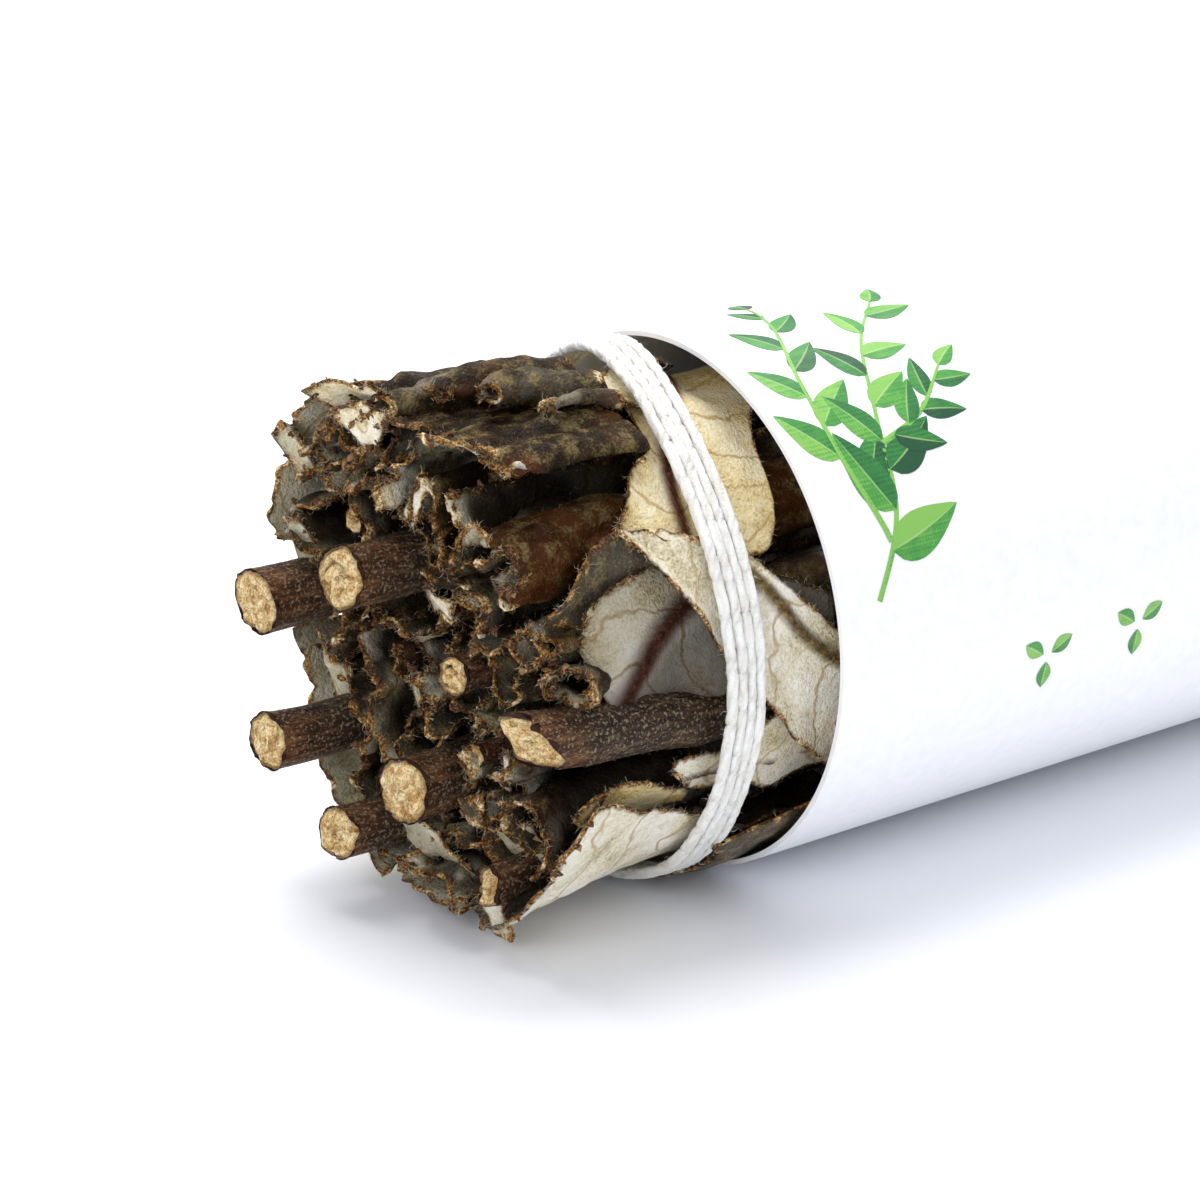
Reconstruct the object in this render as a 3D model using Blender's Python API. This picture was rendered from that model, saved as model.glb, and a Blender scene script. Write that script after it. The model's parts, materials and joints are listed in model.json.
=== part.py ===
"""Yerba santa bunch: dried stems and leaves tied with cotton string, half pushed into a paper sleeve.

The bunch lies along X with its cut end towards -X. Everything is laid out in one cross-section,
in millimetres: u runs towards -Y, w runs up, both from the bunch's own axis, as the bunch is where
the string holds it tightest. bunch_point carries that section along the bunch, so that it swells
in front of the string and inside the sleeve. Until the last step x is 0 at the sleeve's rim.
"""

import math
import random

import bmesh
import bpy
from mathutils import Matrix, Vector

MM = 0.001

# The sleeve
SLEEVE_RADIUS = 22.0
SLEEVE_LENGTH = 85.0
SLEEVE_WALL = 0.4
SLEEVE_FLAT = 0.25          # how far the underside is pressed flat
SLEEVE_SIDES = 48
LAP_ANGLE = 216.0           # where the glued lap starts, in degrees round the tube
LAP_WIDTH = 30.0            # degrees
LAP_STEP = 0.4

# The bunch, along x
FACE_X = -24.0              # the mean cut
BAND_X = -7.4               # middle of the front band of string
BACK_BAND_X = 66.0
TIP_X = 93.0
AXIS_Z = 21.5

# The bunch, outwards from its axis
OUTER_LAYER = 18.0          # middle of the outermost leaves at the string
UNDER_LAYER = 16.9          # middle of the leaves just under them
FACE_FLARE = 0.075
LEFT_FLARE = 0.06
CROWN_FLARE = 0.15
CROWN_ANGLE = 132.0
BELLY_SWELL = 0.045
TAIL_SWELL = 0.09
DRIFT = 0.5                 # how far the cut end wanders from the axis

LEAF_THICK = 0.62
FOLD_STEP = 1.0             # between points across a folded leaf
WRAP_STEP = 3.2             # between points across a wrapped one
TAPER_X = 46.0               # where a long leaf starts to narrow to its tip
TIP_LENGTH = 16.0
STEM_SIDES = 9
STEM_TAPER = 0.0035           # of the radius, lost each millimetre

# The string
STRING_RADIUS = 0.58
STRING_PATH = 19.3          # from the bunch's axis to the middle of the string
STRING_PITCH = 1.35
FRONT_TURNS = 4
BACK_TURNS = 2
STEPS_A_TURN = 24
KNOT_ANGLE = 158.0
KNOT_PATH = 20.8
KNOT_SIZE = 0.72
KNOT_RADIUS = 0.42
KNOT_STEPS = 36

COLOURS = {
    "felt": ((0.74, 0.68, 0.50), 0.9),
    "upper": ((0.045, 0.030, 0.022), 0.55),
    "bark": ((0.075, 0.035, 0.020), 0.7),
    "cotton": ((0.88, 0.87, 0.84), 0.9),
    "paper": ((0.90, 0.90, 0.91), 0.6),
}

# Stems: name, radius, and stations of x, u, w along the middle, from the cut to the far end
STEMS = [
    ("stem_left_upper", 2.75, [(-28.6, -14.3, 1.7), (-9, -14.0, 1.9), (46, -14.0, 1.9)]),
    ("stem_centre", 2.6, [(-28.0, -4.1, 5.6), (34, -4.1, 5.6), (54, -2.6, 4.4), (76, -2.0, 4.0)]),
    ("stem_small", 1.6, [(-23.4, 3.1, 0.8), (30, 3.1, 0.8), (50, 4.0, 0.6)]),
    ("stem_lower", 2.65, [(-26.4, 0.4, -7.9), (34, 0.4, -7.9), (54, 0.8, -5.6), (72, 1.0, -4.6)]),
    ("stem_near_side", 2.35, [(-23.4, 13.7, -0.5), (-9, 14.7, -2.9), (2, 13.2, -3.3), (40, 12.6, -3.2)]),
    ("stem_left_lower", 2.35, [(-30.2, -11.7, -7.6), (-9, -11.5, -7.5), (44, -11.3, -7.4)]),
    ("stem_bottom", 2.15, [(-28.4, -5.4, -12.8), (-9, -5.4, -12.8), (46, -5.2, -12.2)]),
    ("stem_bottom_near", 1.55, [(-24.2, 8.0, -13.3), (-9.6, 7.6, -13.1)]),
    ("twig_bud", 0.95, [(-22.4, 4.3, -5.2), (12, 4.6, -4.8)]),
    ("twig_ring", 0.95, [(-22.6, -8.9, 7.2), (20, -8.7, 7.2)]),
    ("twig_pith", 0.8, [(-22.0, 0.9, 4.2), (16, 0.9, 4.1)]),
]

# Leaves cut through between the stems: name, colour, cut, far end, and the fold that the cut shows
FOLDED_LEAVES = [
    ("leaf_top_ridge", "upper", -24.6, -9.9,
     [(-8.4, 15.9), (-5.4, 17.0), (-2.0, 17.7), (1.6, 17.8), (4.6, 17.7)]),
    ("leaf_top_roll", "upper", -23.6, -9.4,
     [(-2.6, 10.4), (-1.9, 13.0), (0.0, 15.3), (3.6, 16.4), (7.2, 16.2), (9.2, 15.4), (9.5, 14.4),
      (8.2, 14.3), (5.8, 14.9)]),
    ("leaf_rust_roll", "upper", -23.2, 86,
     [(5.3, 11.2), (6.6, 12.6), (8.8, 12.8), (10.6, 11.4), (10.9, 9.4), (9.6, 7.8), (7.5, 8.0),
      (6.9, 9.4), (8.4, 10.4)]),
    ("leaf_torn_pleats", "upper", -24.2, 60,
     [(-1.1, 9.9), (-0.6, 12.6), (0.7, 13.8), (1.8, 12.6), (1.6, 10.2), (2.7, 8.9), (4.0, 9.9),
      (3.9, 12.0), (3.5, 13.9)]),
    ("leaf_curl_near", "felt", -21.6, 82,
     [(8.0, 5.0), (9.8, 5.9), (12.2, 6.7), (13.8, 5.5), (13.2, 3.9), (11.2, 3.6)]),
    ("leaf_zigzag", "upper", -22.8, 80,
     [(-2.0, -0.8), (-0.4, -2.4), (1.4, -1.7), (3.2, -2.6), (5.2, -1.9), (6.8, -3.0), (8.2, -1.6),
      (10.2, -2.4), (10.3, -4.6), (8.6, -5.6)]),
    ("leaf_wave_middle", "upper", -22.2, 66,
     [(2.5, 6.0), (4.6, 5.3), (5.6, 3.6), (6.9, 2.4), (6.8, 0.6), (8.4, -0.1), (9.7, 0.8), (9.6, 2.6)]),
    ("leaf_fold_middle", "felt", -22.6, 88,
     [(-0.9, 8.4), (0.6, 7.2), (2.2, 7.5), (3.6, 7.3), (5.2, 7.6), (6.5, 6.6), (6.7, 5.0)]),
    ("leaf_comb_lower", "upper", -24.6, 76,
     [(-13.7, 9.3), (-12.2, 10.3), (-10.6, 9.9), (-8.8, 11.2), (-7.4, 10.2), (-5.8, 10.1), (-4.4, 11.2)]),
    ("leaf_comb_upper", "upper", -24.9, 64,
     [(-11.6, 11.2), (-10.2, 12.0), (-8.8, 13.3), (-7.4, 12.4), (-6.0, 12.2), (-4.8, 13.3)]),
    ("leaf_crown_curl", "felt", -25.2, -2,
     [(-10.2, 13.4), (-8.2, 14.7), (-5.8, 15.0), (-3.6, 15.3), (-3.0, 14.2), (-3.5, 12.4)]),
    ("leaf_left_fold", "upper", -24.0, 88,
     [(-10.4, 8.3), (-12.4, 8.1), (-14.5, 7.7), (-15.6, 6.5), (-14.3, 5.4), (-12.4, 5.2), (-10.7, 4.0),
      (-9.8, 2.0), (-10.1, -0.2), (-11.5, -2.1)]),
    ("leaf_under_centre", "upper", -22.8, 70,
     [(-8.4, 4.8), (-8.2, 3.0), (-6.8, 1.6), (-5.2, 1.9), (-3.6, 1.3), (-1.7, 1.6)]),
    ("leaf_grey_left", "felt", -23.6, 84,
     [(-15.0, -2.8), (-13.4, -4.1), (-11.4, -3.9), (-9.3, -4.9), (-7.9, -6.8), (-8.3, -9.2),
      (-9.7, -11.0), (-9.0, -12.4), (-8.4, -13.6)]),
    ("leaf_torn_left", "upper", -23.2, 68,
     [(-8.2, 0.9), (-8.6, -0.9), (-7.6, -2.3), (-6.2, -3.1), (-6.5, -5.0), (-5.5, -7.2), (-3.6, -8.9)]),
    ("leaf_grey_centre", "felt", -22.4, 90,
     [(-5.6, 0.1), (-4.9, -1.6), (-3.2, -2.2), (-2.7, -3.9), (-4.0, -5.0), (-3.7, -6.5)]),
    ("leaf_under_stem", "felt", -22.8, 86,
     [(-2.5, -11.3), (-0.8, -12.3), (1.0, -11.9), (2.6, -11.3), (3.8, -12.4), (5.5, -11.7)]),
    ("leaf_bottom_fold", "felt", -24.2, 74,
     [(-2.9, -14.5), (-1.3, -15.3), (0.5, -14.2), (2.2, -13.7), (3.4, -15.0), (5.2, -14.5)]),
    ("leaf_torn_bits", "upper", -23.0, 60,
     [(4.5, -8.4), (6.0, -9.4), (7.6, -8.7), (8.6, -9.9), (10.0, -9.4), (11.4, -10.3)]),
    ("leaf_tent", "upper", -23.4, -8.4,
     [(6.0, -7.2), (8.6, -7.3), (10.8, -6.3), (12.7, -6.8), (13.4, -8.4), (12.7, -10.2)]),
    ("leaf_shard_near", "upper", -21.6, -9.4,
     [(10.2, -12.4), (11.1, -11.9), (11.9, -11.3), (12.7, -11.1)]),
]

# Leaves wrapped round the bunch: name, colour, layer, and stations of x, lower and upper edge in
# degrees, counted from the near side (0) over the top (90)
WRAPPED_LEAVES = [
    ("leaf_collar", "felt", OUTER_LAYER,
     [(-16.5, 39.5, 43.5), (-13, 33, 43.5), (-10, 21, 41.5), (-7.5, 7, 36), (-4.5, -5, 31.5),
      (-1, -16, 20), (3, -24, 8), (12, -30, -6), (22, -27, -16)]),
    ("leaf_collar_fold", "upper", UNDER_LAYER,
     [(-22, 30, 33.5), (-19, 27, 39), (-16, 25, 42.5), (-13, 24, 40), (-10, 24, 34.5), (-6, 23, 28)]),
    ("leaf_yellow", "felt", UNDER_LAYER,
     [(-14.2, 44.5, 48), (-11, 43, 55), (-8, 38, 56), (-6.6, 35, 70), (-4.5, 33, 88), (-2, 37, 99),
      (1, 52, 112), (5, 74, 124), (12, 92, 132), (20, 104, 128)]),
    ("leaf_bottom_cream", "felt", OUTER_LAYER,
     [(-21.5, -40, -25), (-18.5, -70, -21.5), (-15, -95, -25), (-11, -104, -34), (-7.5, -107, -42),
      (-3, -108, -50), (6, -106, -60), (16, -98, -74)]),
    ("leaf_side_lower", "felt", UNDER_LAYER,
     [(-6.4, -36, -27), (-4, -42, -25), (-1, -44, -22), (4, -46, -14), (12, -46, -8), (22, -38, -20)]),
    ("leaf_sliver_near", "felt", UNDER_LAYER,
     [(-20.4, -24, -15), (-17, -29, -19), (-13, -31, -21), (-9, -32, -22)]),
    ("leaf_inner_cream", "felt", UNDER_LAYER,
     [(-18.6, 11.5, 15), (-15, 9.5, 20), (-12, 8.5, 20.5), (-9, 7.5, 20), (-5, 6, 18), (3, 8, 16)]),
    ("leaf_tip_top", "felt", OUTER_LAYER,
     [(-8.8, 89, 93), (-6, 88, 102), (-3, 98, 117), (2, 110, 130), (12, 118, 134)]),
    ("leaf_left_upper", "felt", OUTER_LAYER,
     [(-24.2, 122, 166), (-16, 122, 174), (-7.5, 124, 171), (0, 134, 166), (14, 140, 158)]),
    ("leaf_left_middle", "upper", UNDER_LAYER,
     [(-22.8, 186, 216), (-14, 187, 222), (-7.5, 188, 226), (0, 189, 224), (16, 194, 214)]),
    ("leaf_left_under", "felt", OUTER_LAYER,
     [(-23.6, 208, 250), (-15, 206, 249), (-7.5, 208, 247), (2, 214, 246), (18, 222, 240)]),
    ("leaf_bottom_far", "upper", UNDER_LAYER,
     [(-23.2, 248, 282), (-15, 246, 288), (-7.5, 248, 290), (2, 252, 286), (16, 258, 274)]),
    ("leaf_under_dark", "upper", UNDER_LAYER,
     [(-8.2, -68, -48), (-4, -70, -47), (2, -68, -52), (14, -66, -54)]),
]

# Leaves of the far end: name, colour, layer, middle and width in degrees, start and tip in x
TIP_LEAVES = [
    ("leaf_end_near", "felt", OUTER_LAYER, 12.0, 50.0, 34.0, 90.0),
    ("leaf_end_crown", "upper", OUTER_LAYER, 80.0, 52.0, 38.0, 87.0),
    ("leaf_end_far", "felt", OUTER_LAYER, 150.0, 54.0, 36.0, 91.5),
    ("leaf_end_left", "upper", OUTER_LAYER, 222.0, 48.0, 36.0, 88.0),
    ("leaf_end_bottom", "felt", OUTER_LAYER, 290.0, 50.0, 36.0, 86.0),
    ("leaf_end_near_under", "upper", UNDER_LAYER - 0.1, 44.0, 52.0, 34.0, 92.0),
    ("leaf_end_left_under", "felt", UNDER_LAYER - 0.1, 252.0, 46.0, 36.0, 90.5),
    ("leaf_end_bottom_under", "upper", UNDER_LAYER - 0.1, 326.0, 44.0, 36.0, 89.0),
]


def ease(start, end, x):
    """0 before start, 1 after end, smooth between."""
    t = min(max((x - start) / (end - start), 0.0), 1.0)
    return t * t * (3 - 2 * t)


def bell(angle, centre, width):
    """A smooth bump of height 1 round the bunch, angles in degrees."""
    off = (angle - centre + 180) % 360 - 180
    return math.exp(-(off / width) ** 2)


def swell(x, angle):
    """How far the bunch stands out from its tied waist, as a factor on the radius."""
    flare = FACE_FLARE + LEFT_FLARE * bell(angle, 180, 60) + CROWN_FLARE * bell(angle, CROWN_ANGLE, 34)
    front = flare * (1 - ease(FACE_X, BAND_X, x))
    belly = BELLY_SWELL * ease(BAND_X, 10, x) * (1 - ease(48, BACK_BAND_X, x))
    tail = TAIL_SWELL * ease(BACK_BAND_X, TIP_X, x)
    return 1 + front + belly + tail


def drift(x):
    """How far the loose cut end has wandered from the bunch's axis, in front of the string."""
    reach = DRIFT * (1 - ease(FACE_X + 4, BAND_X, x))
    return reach * math.sin(x / 5.2 + 0.8), reach * math.sin(x / 6.1 + 2.2)


def bunch_point(x, u, w):
    """Where a point (u, w) of the section lies, x along the bunch, in millimetres."""
    factor = swell(x, math.degrees(math.atan2(w, u)))
    aside, up = drift(x)
    return Vector((x, -(u * factor + aside), AXIS_Z + w * factor + up))


def ring_point(x, radius, angle):
    """The same for a point given by its radius and its angle in degrees."""
    turn = math.radians(angle)
    return bunch_point(x, radius * math.cos(turn), radius * math.sin(turn))


def curve_through(points, count):
    """Points at even spacing on a smooth curve through the given ones."""
    ends = [2 * points[0] - points[1]] + points + [2 * points[-1] - points[-2]]
    fine = []
    for before, a, b, after in zip(ends, ends[1:], ends[2:], ends[3:]):
        for step in range(12):
            t = step / 12
            fine.append(0.5 * (2 * a + (b - before) * t + (2 * before - 5 * a + 4 * b - after) * t * t
                               + (3 * a - before - 3 * b + after) * t ** 3))
    fine.append(points[-1])
    lengths = [0.0]
    for a, b in zip(fine, fine[1:]):
        lengths.append(lengths[-1] + (b - a).length)
    spaced = []
    place = 0
    for step in range(count):
        target = lengths[-1] * step / (count - 1)
        while place < len(fine) - 2 and lengths[place + 1] < target:
            place += 1
        part = (target - lengths[place]) / (lengths[place + 1] - lengths[place])
        spaced.append(fine[place].lerp(fine[place + 1], part))
    return spaced


def look_up(stations, x):
    """Values between stations of (x, value, value, ...), eased from one to the next."""
    for low, high in zip(stations, stations[1:]):
        if x <= high[0]:
            t = max((x - low[0]) / (high[0] - low[0]), 0.0)
            return [a + (b - a) * t for a, b in zip(low[1:], high[1:])]
    return list(stations[-1][1:])


def finish(name, bm, colour):
    """Close a mesh, point its faces outwards and make it an object."""
    bmesh.ops.recalc_face_normals(bm, faces=bm.faces)
    mesh = bpy.data.meshes.new(name)
    bm.to_mesh(mesh)
    bm.free()
    mesh.transform(SCALE_TO_METRES)
    obj = bpy.data.objects.new(name, mesh)
    obj.data.materials.append(material(colour))
    bunch.objects.link(obj)
    return obj


def material(colour):
    """The finish of one kind of surface, made once."""
    if colour in bpy.data.materials:
        return bpy.data.materials[colour]
    base, roughness = COLOURS[colour]
    made = bpy.data.materials.new(colour)
    made.use_nodes = True
    shader = made.node_tree.nodes["Principled BSDF"]
    shader.inputs["Base Color"].default_value = (*base, 1)
    shader.inputs["Roughness"].default_value = roughness
    made.diffuse_color = (*base, 1)
    return made


def tube(name, rings, colour):
    """A loft through rings of points that are alike in number, closed at both ends."""
    bm = bmesh.new()
    loops = [[bm.verts.new(point) for point in ring] for ring in rings]
    for ring, after in zip(loops, loops[1:]):
        for i in range(len(ring)):
            j = (i + 1) % len(ring)
            bm.faces.new((ring[i], ring[j], after[j], after[i]))
    bm.faces.new(loops[0])
    bm.faces.new(reversed(loops[-1]))
    return finish(name, bm, colour)


def sheet(name, grid, colour, thickness=LEAF_THICK):
    """A blade of even thickness round a grid of points, split alike on both faces."""
    rows, columns = len(grid), len(grid[0])
    bm = bmesh.new()
    faces = []
    for side in (-0.5, 0.5):
        layer = []
        for i in range(rows):
            line = []
            for j in range(columns):
                along = grid[min(i + 1, rows - 1)][j] - grid[max(i - 1, 0)][j]
                across = grid[i][min(j + 1, columns - 1)] - grid[i][max(j - 1, 0)]
                across.x = 0.0
                normal = along.cross(across).normalized()
                line.append(bm.verts.new(grid[i][j] + normal * side * thickness))
            layer.append(line)
        faces.append(layer)
        for i in range(rows - 1):
            for j in range(columns - 1):
                a, b = layer[i][j], layer[i][j + 1]
                c, d = layer[i + 1][j + 1], layer[i + 1][j]
                if (i + j) % 2:
                    bm.faces.new((a, b, c))
                    bm.faces.new((a, c, d))
                else:
                    bm.faces.new((a, b, d))
                    bm.faces.new((b, c, d))
    rim = [(0, j) for j in range(columns)] + [(i, columns - 1) for i in range(1, rows)]
    rim += [(rows - 1, j) for j in range(columns - 2, -1, -1)] + [(i, 0) for i in range(rows - 2, 0, -1)]
    for (i, j), (k, m) in zip(rim, rim[1:] + rim[:1]):
        bm.faces.new((faces[0][i][j], faces[0][k][m], faces[1][k][m], faces[1][i][j]))
    return finish(name, bm, colour)


def ragged(columns, reach, seed):
    """How far a torn edge stands out at each column."""
    draw = random.Random(seed)
    return [draw.uniform(-reach, reach) for _ in range(columns)]


def folded_leaf(name, colour, cut_x, end_x, fold):
    """A leaf that runs along the bunch, its section a fold and its front edge torn by the cut."""
    length = sum(math.dist(a, b) for a, b in zip(fold, fold[1:]))
    columns = max(6, round(length / FOLD_STEP))
    line = curve_through([Vector((u, w, 0)) for u, w in fold], columns)
    torn = ragged(columns, 1.1, name)
    front = [(cut_x, 1.0), (cut_x + 3.2, 0.35), (cut_x + 8.0, 0.0)]
    if end_x > BAND_X + 3:
        front.append((BAND_X, 0.0))
    if end_x > TAPER_X:
        front += [(20, 0.0), (TAPER_X, 0.0)]
    grid = [[bunch_point(x + torn[j] * tear, line[j].x, line[j].y) for j in range(columns)]
            for x, tear in front]
    last_x = front[-1][0]
    point_length = min(TIP_LENGTH, 0.75 * (end_x - TAPER_X)) if end_x > TAPER_X else 1.0
    for part in (0.6, 1.0) if end_x > TAPER_X else (1.0,):
        row = []
        for j in range(columns):
            edge = abs(2 * j / (columns - 1) - 1)
            reach = end_x - point_length * edge ** 1.5 + torn[j] * 0.4
            row.append(bunch_point(last_x + (reach - last_x) * part, line[j].x, line[j].y))
        grid.append(row)
    return sheet(name, grid, colour)


def wrapped_leaf(name, colour, layer, stations):
    """A leaf that lies round the outside of the bunch, between two edges."""
    widest = max(high - low for _, low, high in stations)
    columns = max(5, round(math.radians(widest) * layer / WRAP_STEP))
    rows = []
    for (x, *edges), (next_x, *next_edges) in zip(stations, stations[1:]):
        sweep = max(abs(a - b) for a, b in zip(edges, next_edges))
        parts = max(math.ceil((next_x - x) / 6), math.ceil(sweep / 14))
        rows += [x + (next_x - x) * part / parts for part in range(parts)]
    rows.append(stations[-1][0])
    torn = ragged(columns, 0.7, name)
    grid = []
    for i, x in enumerate(rows):
        low, high = look_up(stations, x)
        row = []
        for j in range(columns):
            angle = low + (high - low) * j / (columns - 1)
            pull = torn[j] * min(1.0, (high - low) / 40) if i == 0 else 0.0
            row.append(ring_point(x + pull, layer, angle))
        grid.append(row)
    return sheet(name, grid, colour)


def tip_leaf(name, colour, layer, middle, width, start_x, tip_x):
    """A leaf of the far end, which narrows to its tip past the sleeve."""
    grid = []
    columns = 7
    for x in (start_x, (start_x + BACK_BAND_X) / 2, BACK_BAND_X, 76, (76 + tip_x) / 2, tip_x - 2.5, tip_x):
        part = (x - start_x) / (tip_x - start_x)
        spread = width * min(1.0, 0.5 + part) * max(1 - part ** 5, 0.0) + 2.5
        grid.append([ring_point(x, layer, middle + spread * (j / (columns - 1) - 0.5))
                     for j in range(columns)])
    return sheet(name, grid, colour)


def stem(name, radius, stations):
    """A woody stem: knotted, a little bent, thinner towards its far end."""
    draw = random.Random(name)
    cut_x, end_x = stations[0][0], stations[-1][0]
    count = max(4, round((end_x - cut_x) / 9))
    phase = draw.uniform(0, 6)
    rings = []
    for i in range(count + 1):
        x = cut_x + (end_x - cut_x) * (i / count) ** 1.2
        centre = bunch_point(x, *look_up(stations, x))
        size = radius * (1 - STEM_TAPER * (x - cut_x)) * (1 - 0.04 * (1 + math.sin(2.1 * i + phase)))
        tilt = draw.uniform(-0.12, 0.12) if i == 0 else 0.0
        ring = []
        for k in range(STEM_SIDES):
            turn = 2 * math.pi * k / STEM_SIDES
            side, rise = size * math.cos(turn), size * math.sin(turn)
            ring.append(centre + Vector((tilt * (side + rise), -side, rise)))
        rings.append(ring)
    return tube(name, rings, "bark")


def string_route():
    """The string's path: a band of turns at the front, a slow turn back, a second band."""
    path = []

    def wind(x_from, x_to, angle_from, turns):
        steps = round(STEPS_A_TURN * turns)
        for step in range(steps):
            part = step / steps
            x = x_from + (x_to - x_from) * part
            angle = angle_from + 360 * turns * part
            path.append(string_point(x, angle))

    front = BAND_X - STRING_PITCH * FRONT_TURNS / 2
    wind(front, front + STRING_PITCH * FRONT_TURNS, KNOT_ANGLE, FRONT_TURNS)
    wind(BAND_X + STRING_PITCH * FRONT_TURNS / 2, BACK_BAND_X, KNOT_ANGLE + 360 * FRONT_TURNS, 1.0)
    wind(BACK_BAND_X, BACK_BAND_X + STRING_PITCH * BACK_TURNS, KNOT_ANGLE + 360, BACK_TURNS + 0.2)
    return path


def string_point(x, angle):
    """A point of the string, which lies on the leaves under it."""
    turn = math.radians(angle)
    aside, up = drift(x)
    reach = STRING_PATH * swell(x, angle)
    return Vector((x, -(reach * math.cos(turn) + aside), AXIS_Z + reach * math.sin(turn) + up))


def cord(name, path, radius, closed=False):
    """A round cord along a path, as a curve with a bevel."""
    curve = bpy.data.curves.new(name, "CURVE")
    curve.dimensions = "3D"
    curve.bevel_depth = radius * MM
    curve.bevel_resolution = 1
    curve.use_fill_caps = True
    spline = curve.splines.new("POLY")
    spline.points.add(len(path) - 1)
    spline.use_cyclic_u = closed
    for point, place in zip(spline.points, path):
        point.co = (*(place * MM), 1)
    obj = bpy.data.objects.new(name, curve)
    curve.materials.append(material("cotton"))
    bunch.objects.link(obj)
    return obj


def knot():
    """The string's knot, on the far side of the bunch in front of the band."""
    turn = math.radians(KNOT_ANGLE)
    centre = Vector((BAND_X - 5.6, -KNOT_PATH * math.cos(turn), AXIS_Z + KNOT_PATH * math.sin(turn)))
    outwards = Vector((0, -math.cos(turn), math.sin(turn)))
    along = Vector((1, 0, 0))
    aside = outwards.cross(along)
    path = []
    for step in range(KNOT_STEPS):
        t = 2 * math.pi * step / KNOT_STEPS
        path.append(centre + KNOT_SIZE * (along * (math.sin(t) + 2 * math.sin(2 * t))
                                          + aside * (math.cos(t) - 2 * math.cos(2 * t))
                                          - outwards * math.sin(3 * t)))
    return cord("string_knot", path, KNOT_RADIUS, closed=True)


def sleeve():
    """The rolled paper: a tube pressed flat along its underside, with a glued lap."""
    rings = []
    for x in (0.0, SLEEVE_LENGTH):
        for inside in (False, True):
            ring = []
            for k in range(SLEEVE_SIDES):
                angle = 360 * k / SLEEVE_SIDES
                radius = SLEEVE_RADIUS - (SLEEVE_WALL if inside else 0.0)
                if not inside and 0 <= (angle - LAP_ANGLE) % 360 <= LAP_WIDTH:
                    radius += LAP_STEP
                turn = math.radians(angle)
                low = -(radius if inside else SLEEVE_RADIUS) + SLEEVE_FLAT
                ring.append(Vector((x, -radius * math.cos(turn),
                                    SLEEVE_RADIUS - SLEEVE_FLAT + max(radius * math.sin(turn), low))))
            rings.append(ring)
    front_out, front_in, back_out, back_in = rings
    bm = bmesh.new()
    loops = [[bm.verts.new(point) for point in ring] for ring in (front_out, back_out, back_in, front_in)]
    for ring, after in zip(loops, loops[1:] + loops[:1]):
        for i in range(SLEEVE_SIDES):
            j = (i + 1) % SLEEVE_SIDES
            bm.faces.new((ring[i], ring[j], after[j], after[i]))
    return finish("paper_sleeve", bm, "paper")


def centre_on_origin():
    """Move every piece so that the bunch stands on the origin."""
    bpy.context.view_layer.update()
    depsgraph = bpy.context.evaluated_depsgraph_get()
    low = Vector((1, 1, 1))
    high = Vector((-1, -1, -1))
    for obj in bunch.objects:
        mesh = obj.evaluated_get(depsgraph).to_mesh()
        for vertex in mesh.vertices:
            low = Vector(map(min, low, vertex.co))
            high = Vector(map(max, high, vertex.co))
    shift = Vector((-(low.x + high.x) / 2, -(low.y + high.y) / 2, -low.z))
    for obj in bunch.objects:
        obj.location = shift


for old in list(bpy.data.objects):
    bpy.data.objects.remove(old, do_unlink=True)

SCALE_TO_METRES = Matrix.Scale(MM, 4)
bunch = bpy.data.collections.new("yerba_santa_bunch")
bpy.context.scene.collection.children.link(bunch)

sleeve()
cord("string", string_route(), STRING_RADIUS)
knot()
for row in STEMS:
    stem(*row)
for row in FOLDED_LEAVES:
    folded_leaf(*row)
for row in WRAPPED_LEAVES:
    wrapped_leaf(*row)
for row in TIP_LEAVES:
    tip_leaf(*row)
centre_on_origin()
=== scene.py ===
"""Yerba santa bunch: the looks of dried stems and leaves tied with cotton string, in a paper sleeve.

Lengths are millimetres in the bunch's own section, x counted from the sleeve's rim, and become
metres in the frame when a mesh is made. u runs towards -Y and w up, both from the bunch's axis.
"""

import json
import math
import random

import bpy
import numpy as np
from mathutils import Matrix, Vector

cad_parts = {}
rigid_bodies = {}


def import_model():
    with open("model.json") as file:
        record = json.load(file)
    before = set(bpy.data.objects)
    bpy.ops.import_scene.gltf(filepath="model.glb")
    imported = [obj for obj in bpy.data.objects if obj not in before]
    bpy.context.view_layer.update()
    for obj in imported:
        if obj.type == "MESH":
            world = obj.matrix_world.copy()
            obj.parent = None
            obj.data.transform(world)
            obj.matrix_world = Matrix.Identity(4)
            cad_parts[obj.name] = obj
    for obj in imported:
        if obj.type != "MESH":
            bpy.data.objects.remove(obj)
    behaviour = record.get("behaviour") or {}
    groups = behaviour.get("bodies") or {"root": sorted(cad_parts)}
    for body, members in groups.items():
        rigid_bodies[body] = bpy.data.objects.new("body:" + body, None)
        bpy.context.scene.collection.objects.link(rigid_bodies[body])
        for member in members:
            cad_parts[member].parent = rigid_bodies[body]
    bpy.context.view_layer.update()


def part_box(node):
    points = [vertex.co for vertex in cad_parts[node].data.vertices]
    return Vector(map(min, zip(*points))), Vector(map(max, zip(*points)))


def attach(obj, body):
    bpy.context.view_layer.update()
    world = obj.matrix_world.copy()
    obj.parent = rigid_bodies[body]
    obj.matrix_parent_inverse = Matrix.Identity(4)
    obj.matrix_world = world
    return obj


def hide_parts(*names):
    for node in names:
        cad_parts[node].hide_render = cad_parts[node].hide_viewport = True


bl_info = {
    "name": "Yerba Santa Bunch",
    "version": (1, 0, 0),
    "blender": (4, 5, 0),
    "location": "View3D > Sidebar > Herbs",
    "description": "Makes a tied bunch of dried yerba santa in a printed paper sleeve",
    "category": "Add Mesh",
}

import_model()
SLEEVE_LOW, SLEEVE_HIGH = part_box("paper_sleeve")

MM = 0.001

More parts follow.
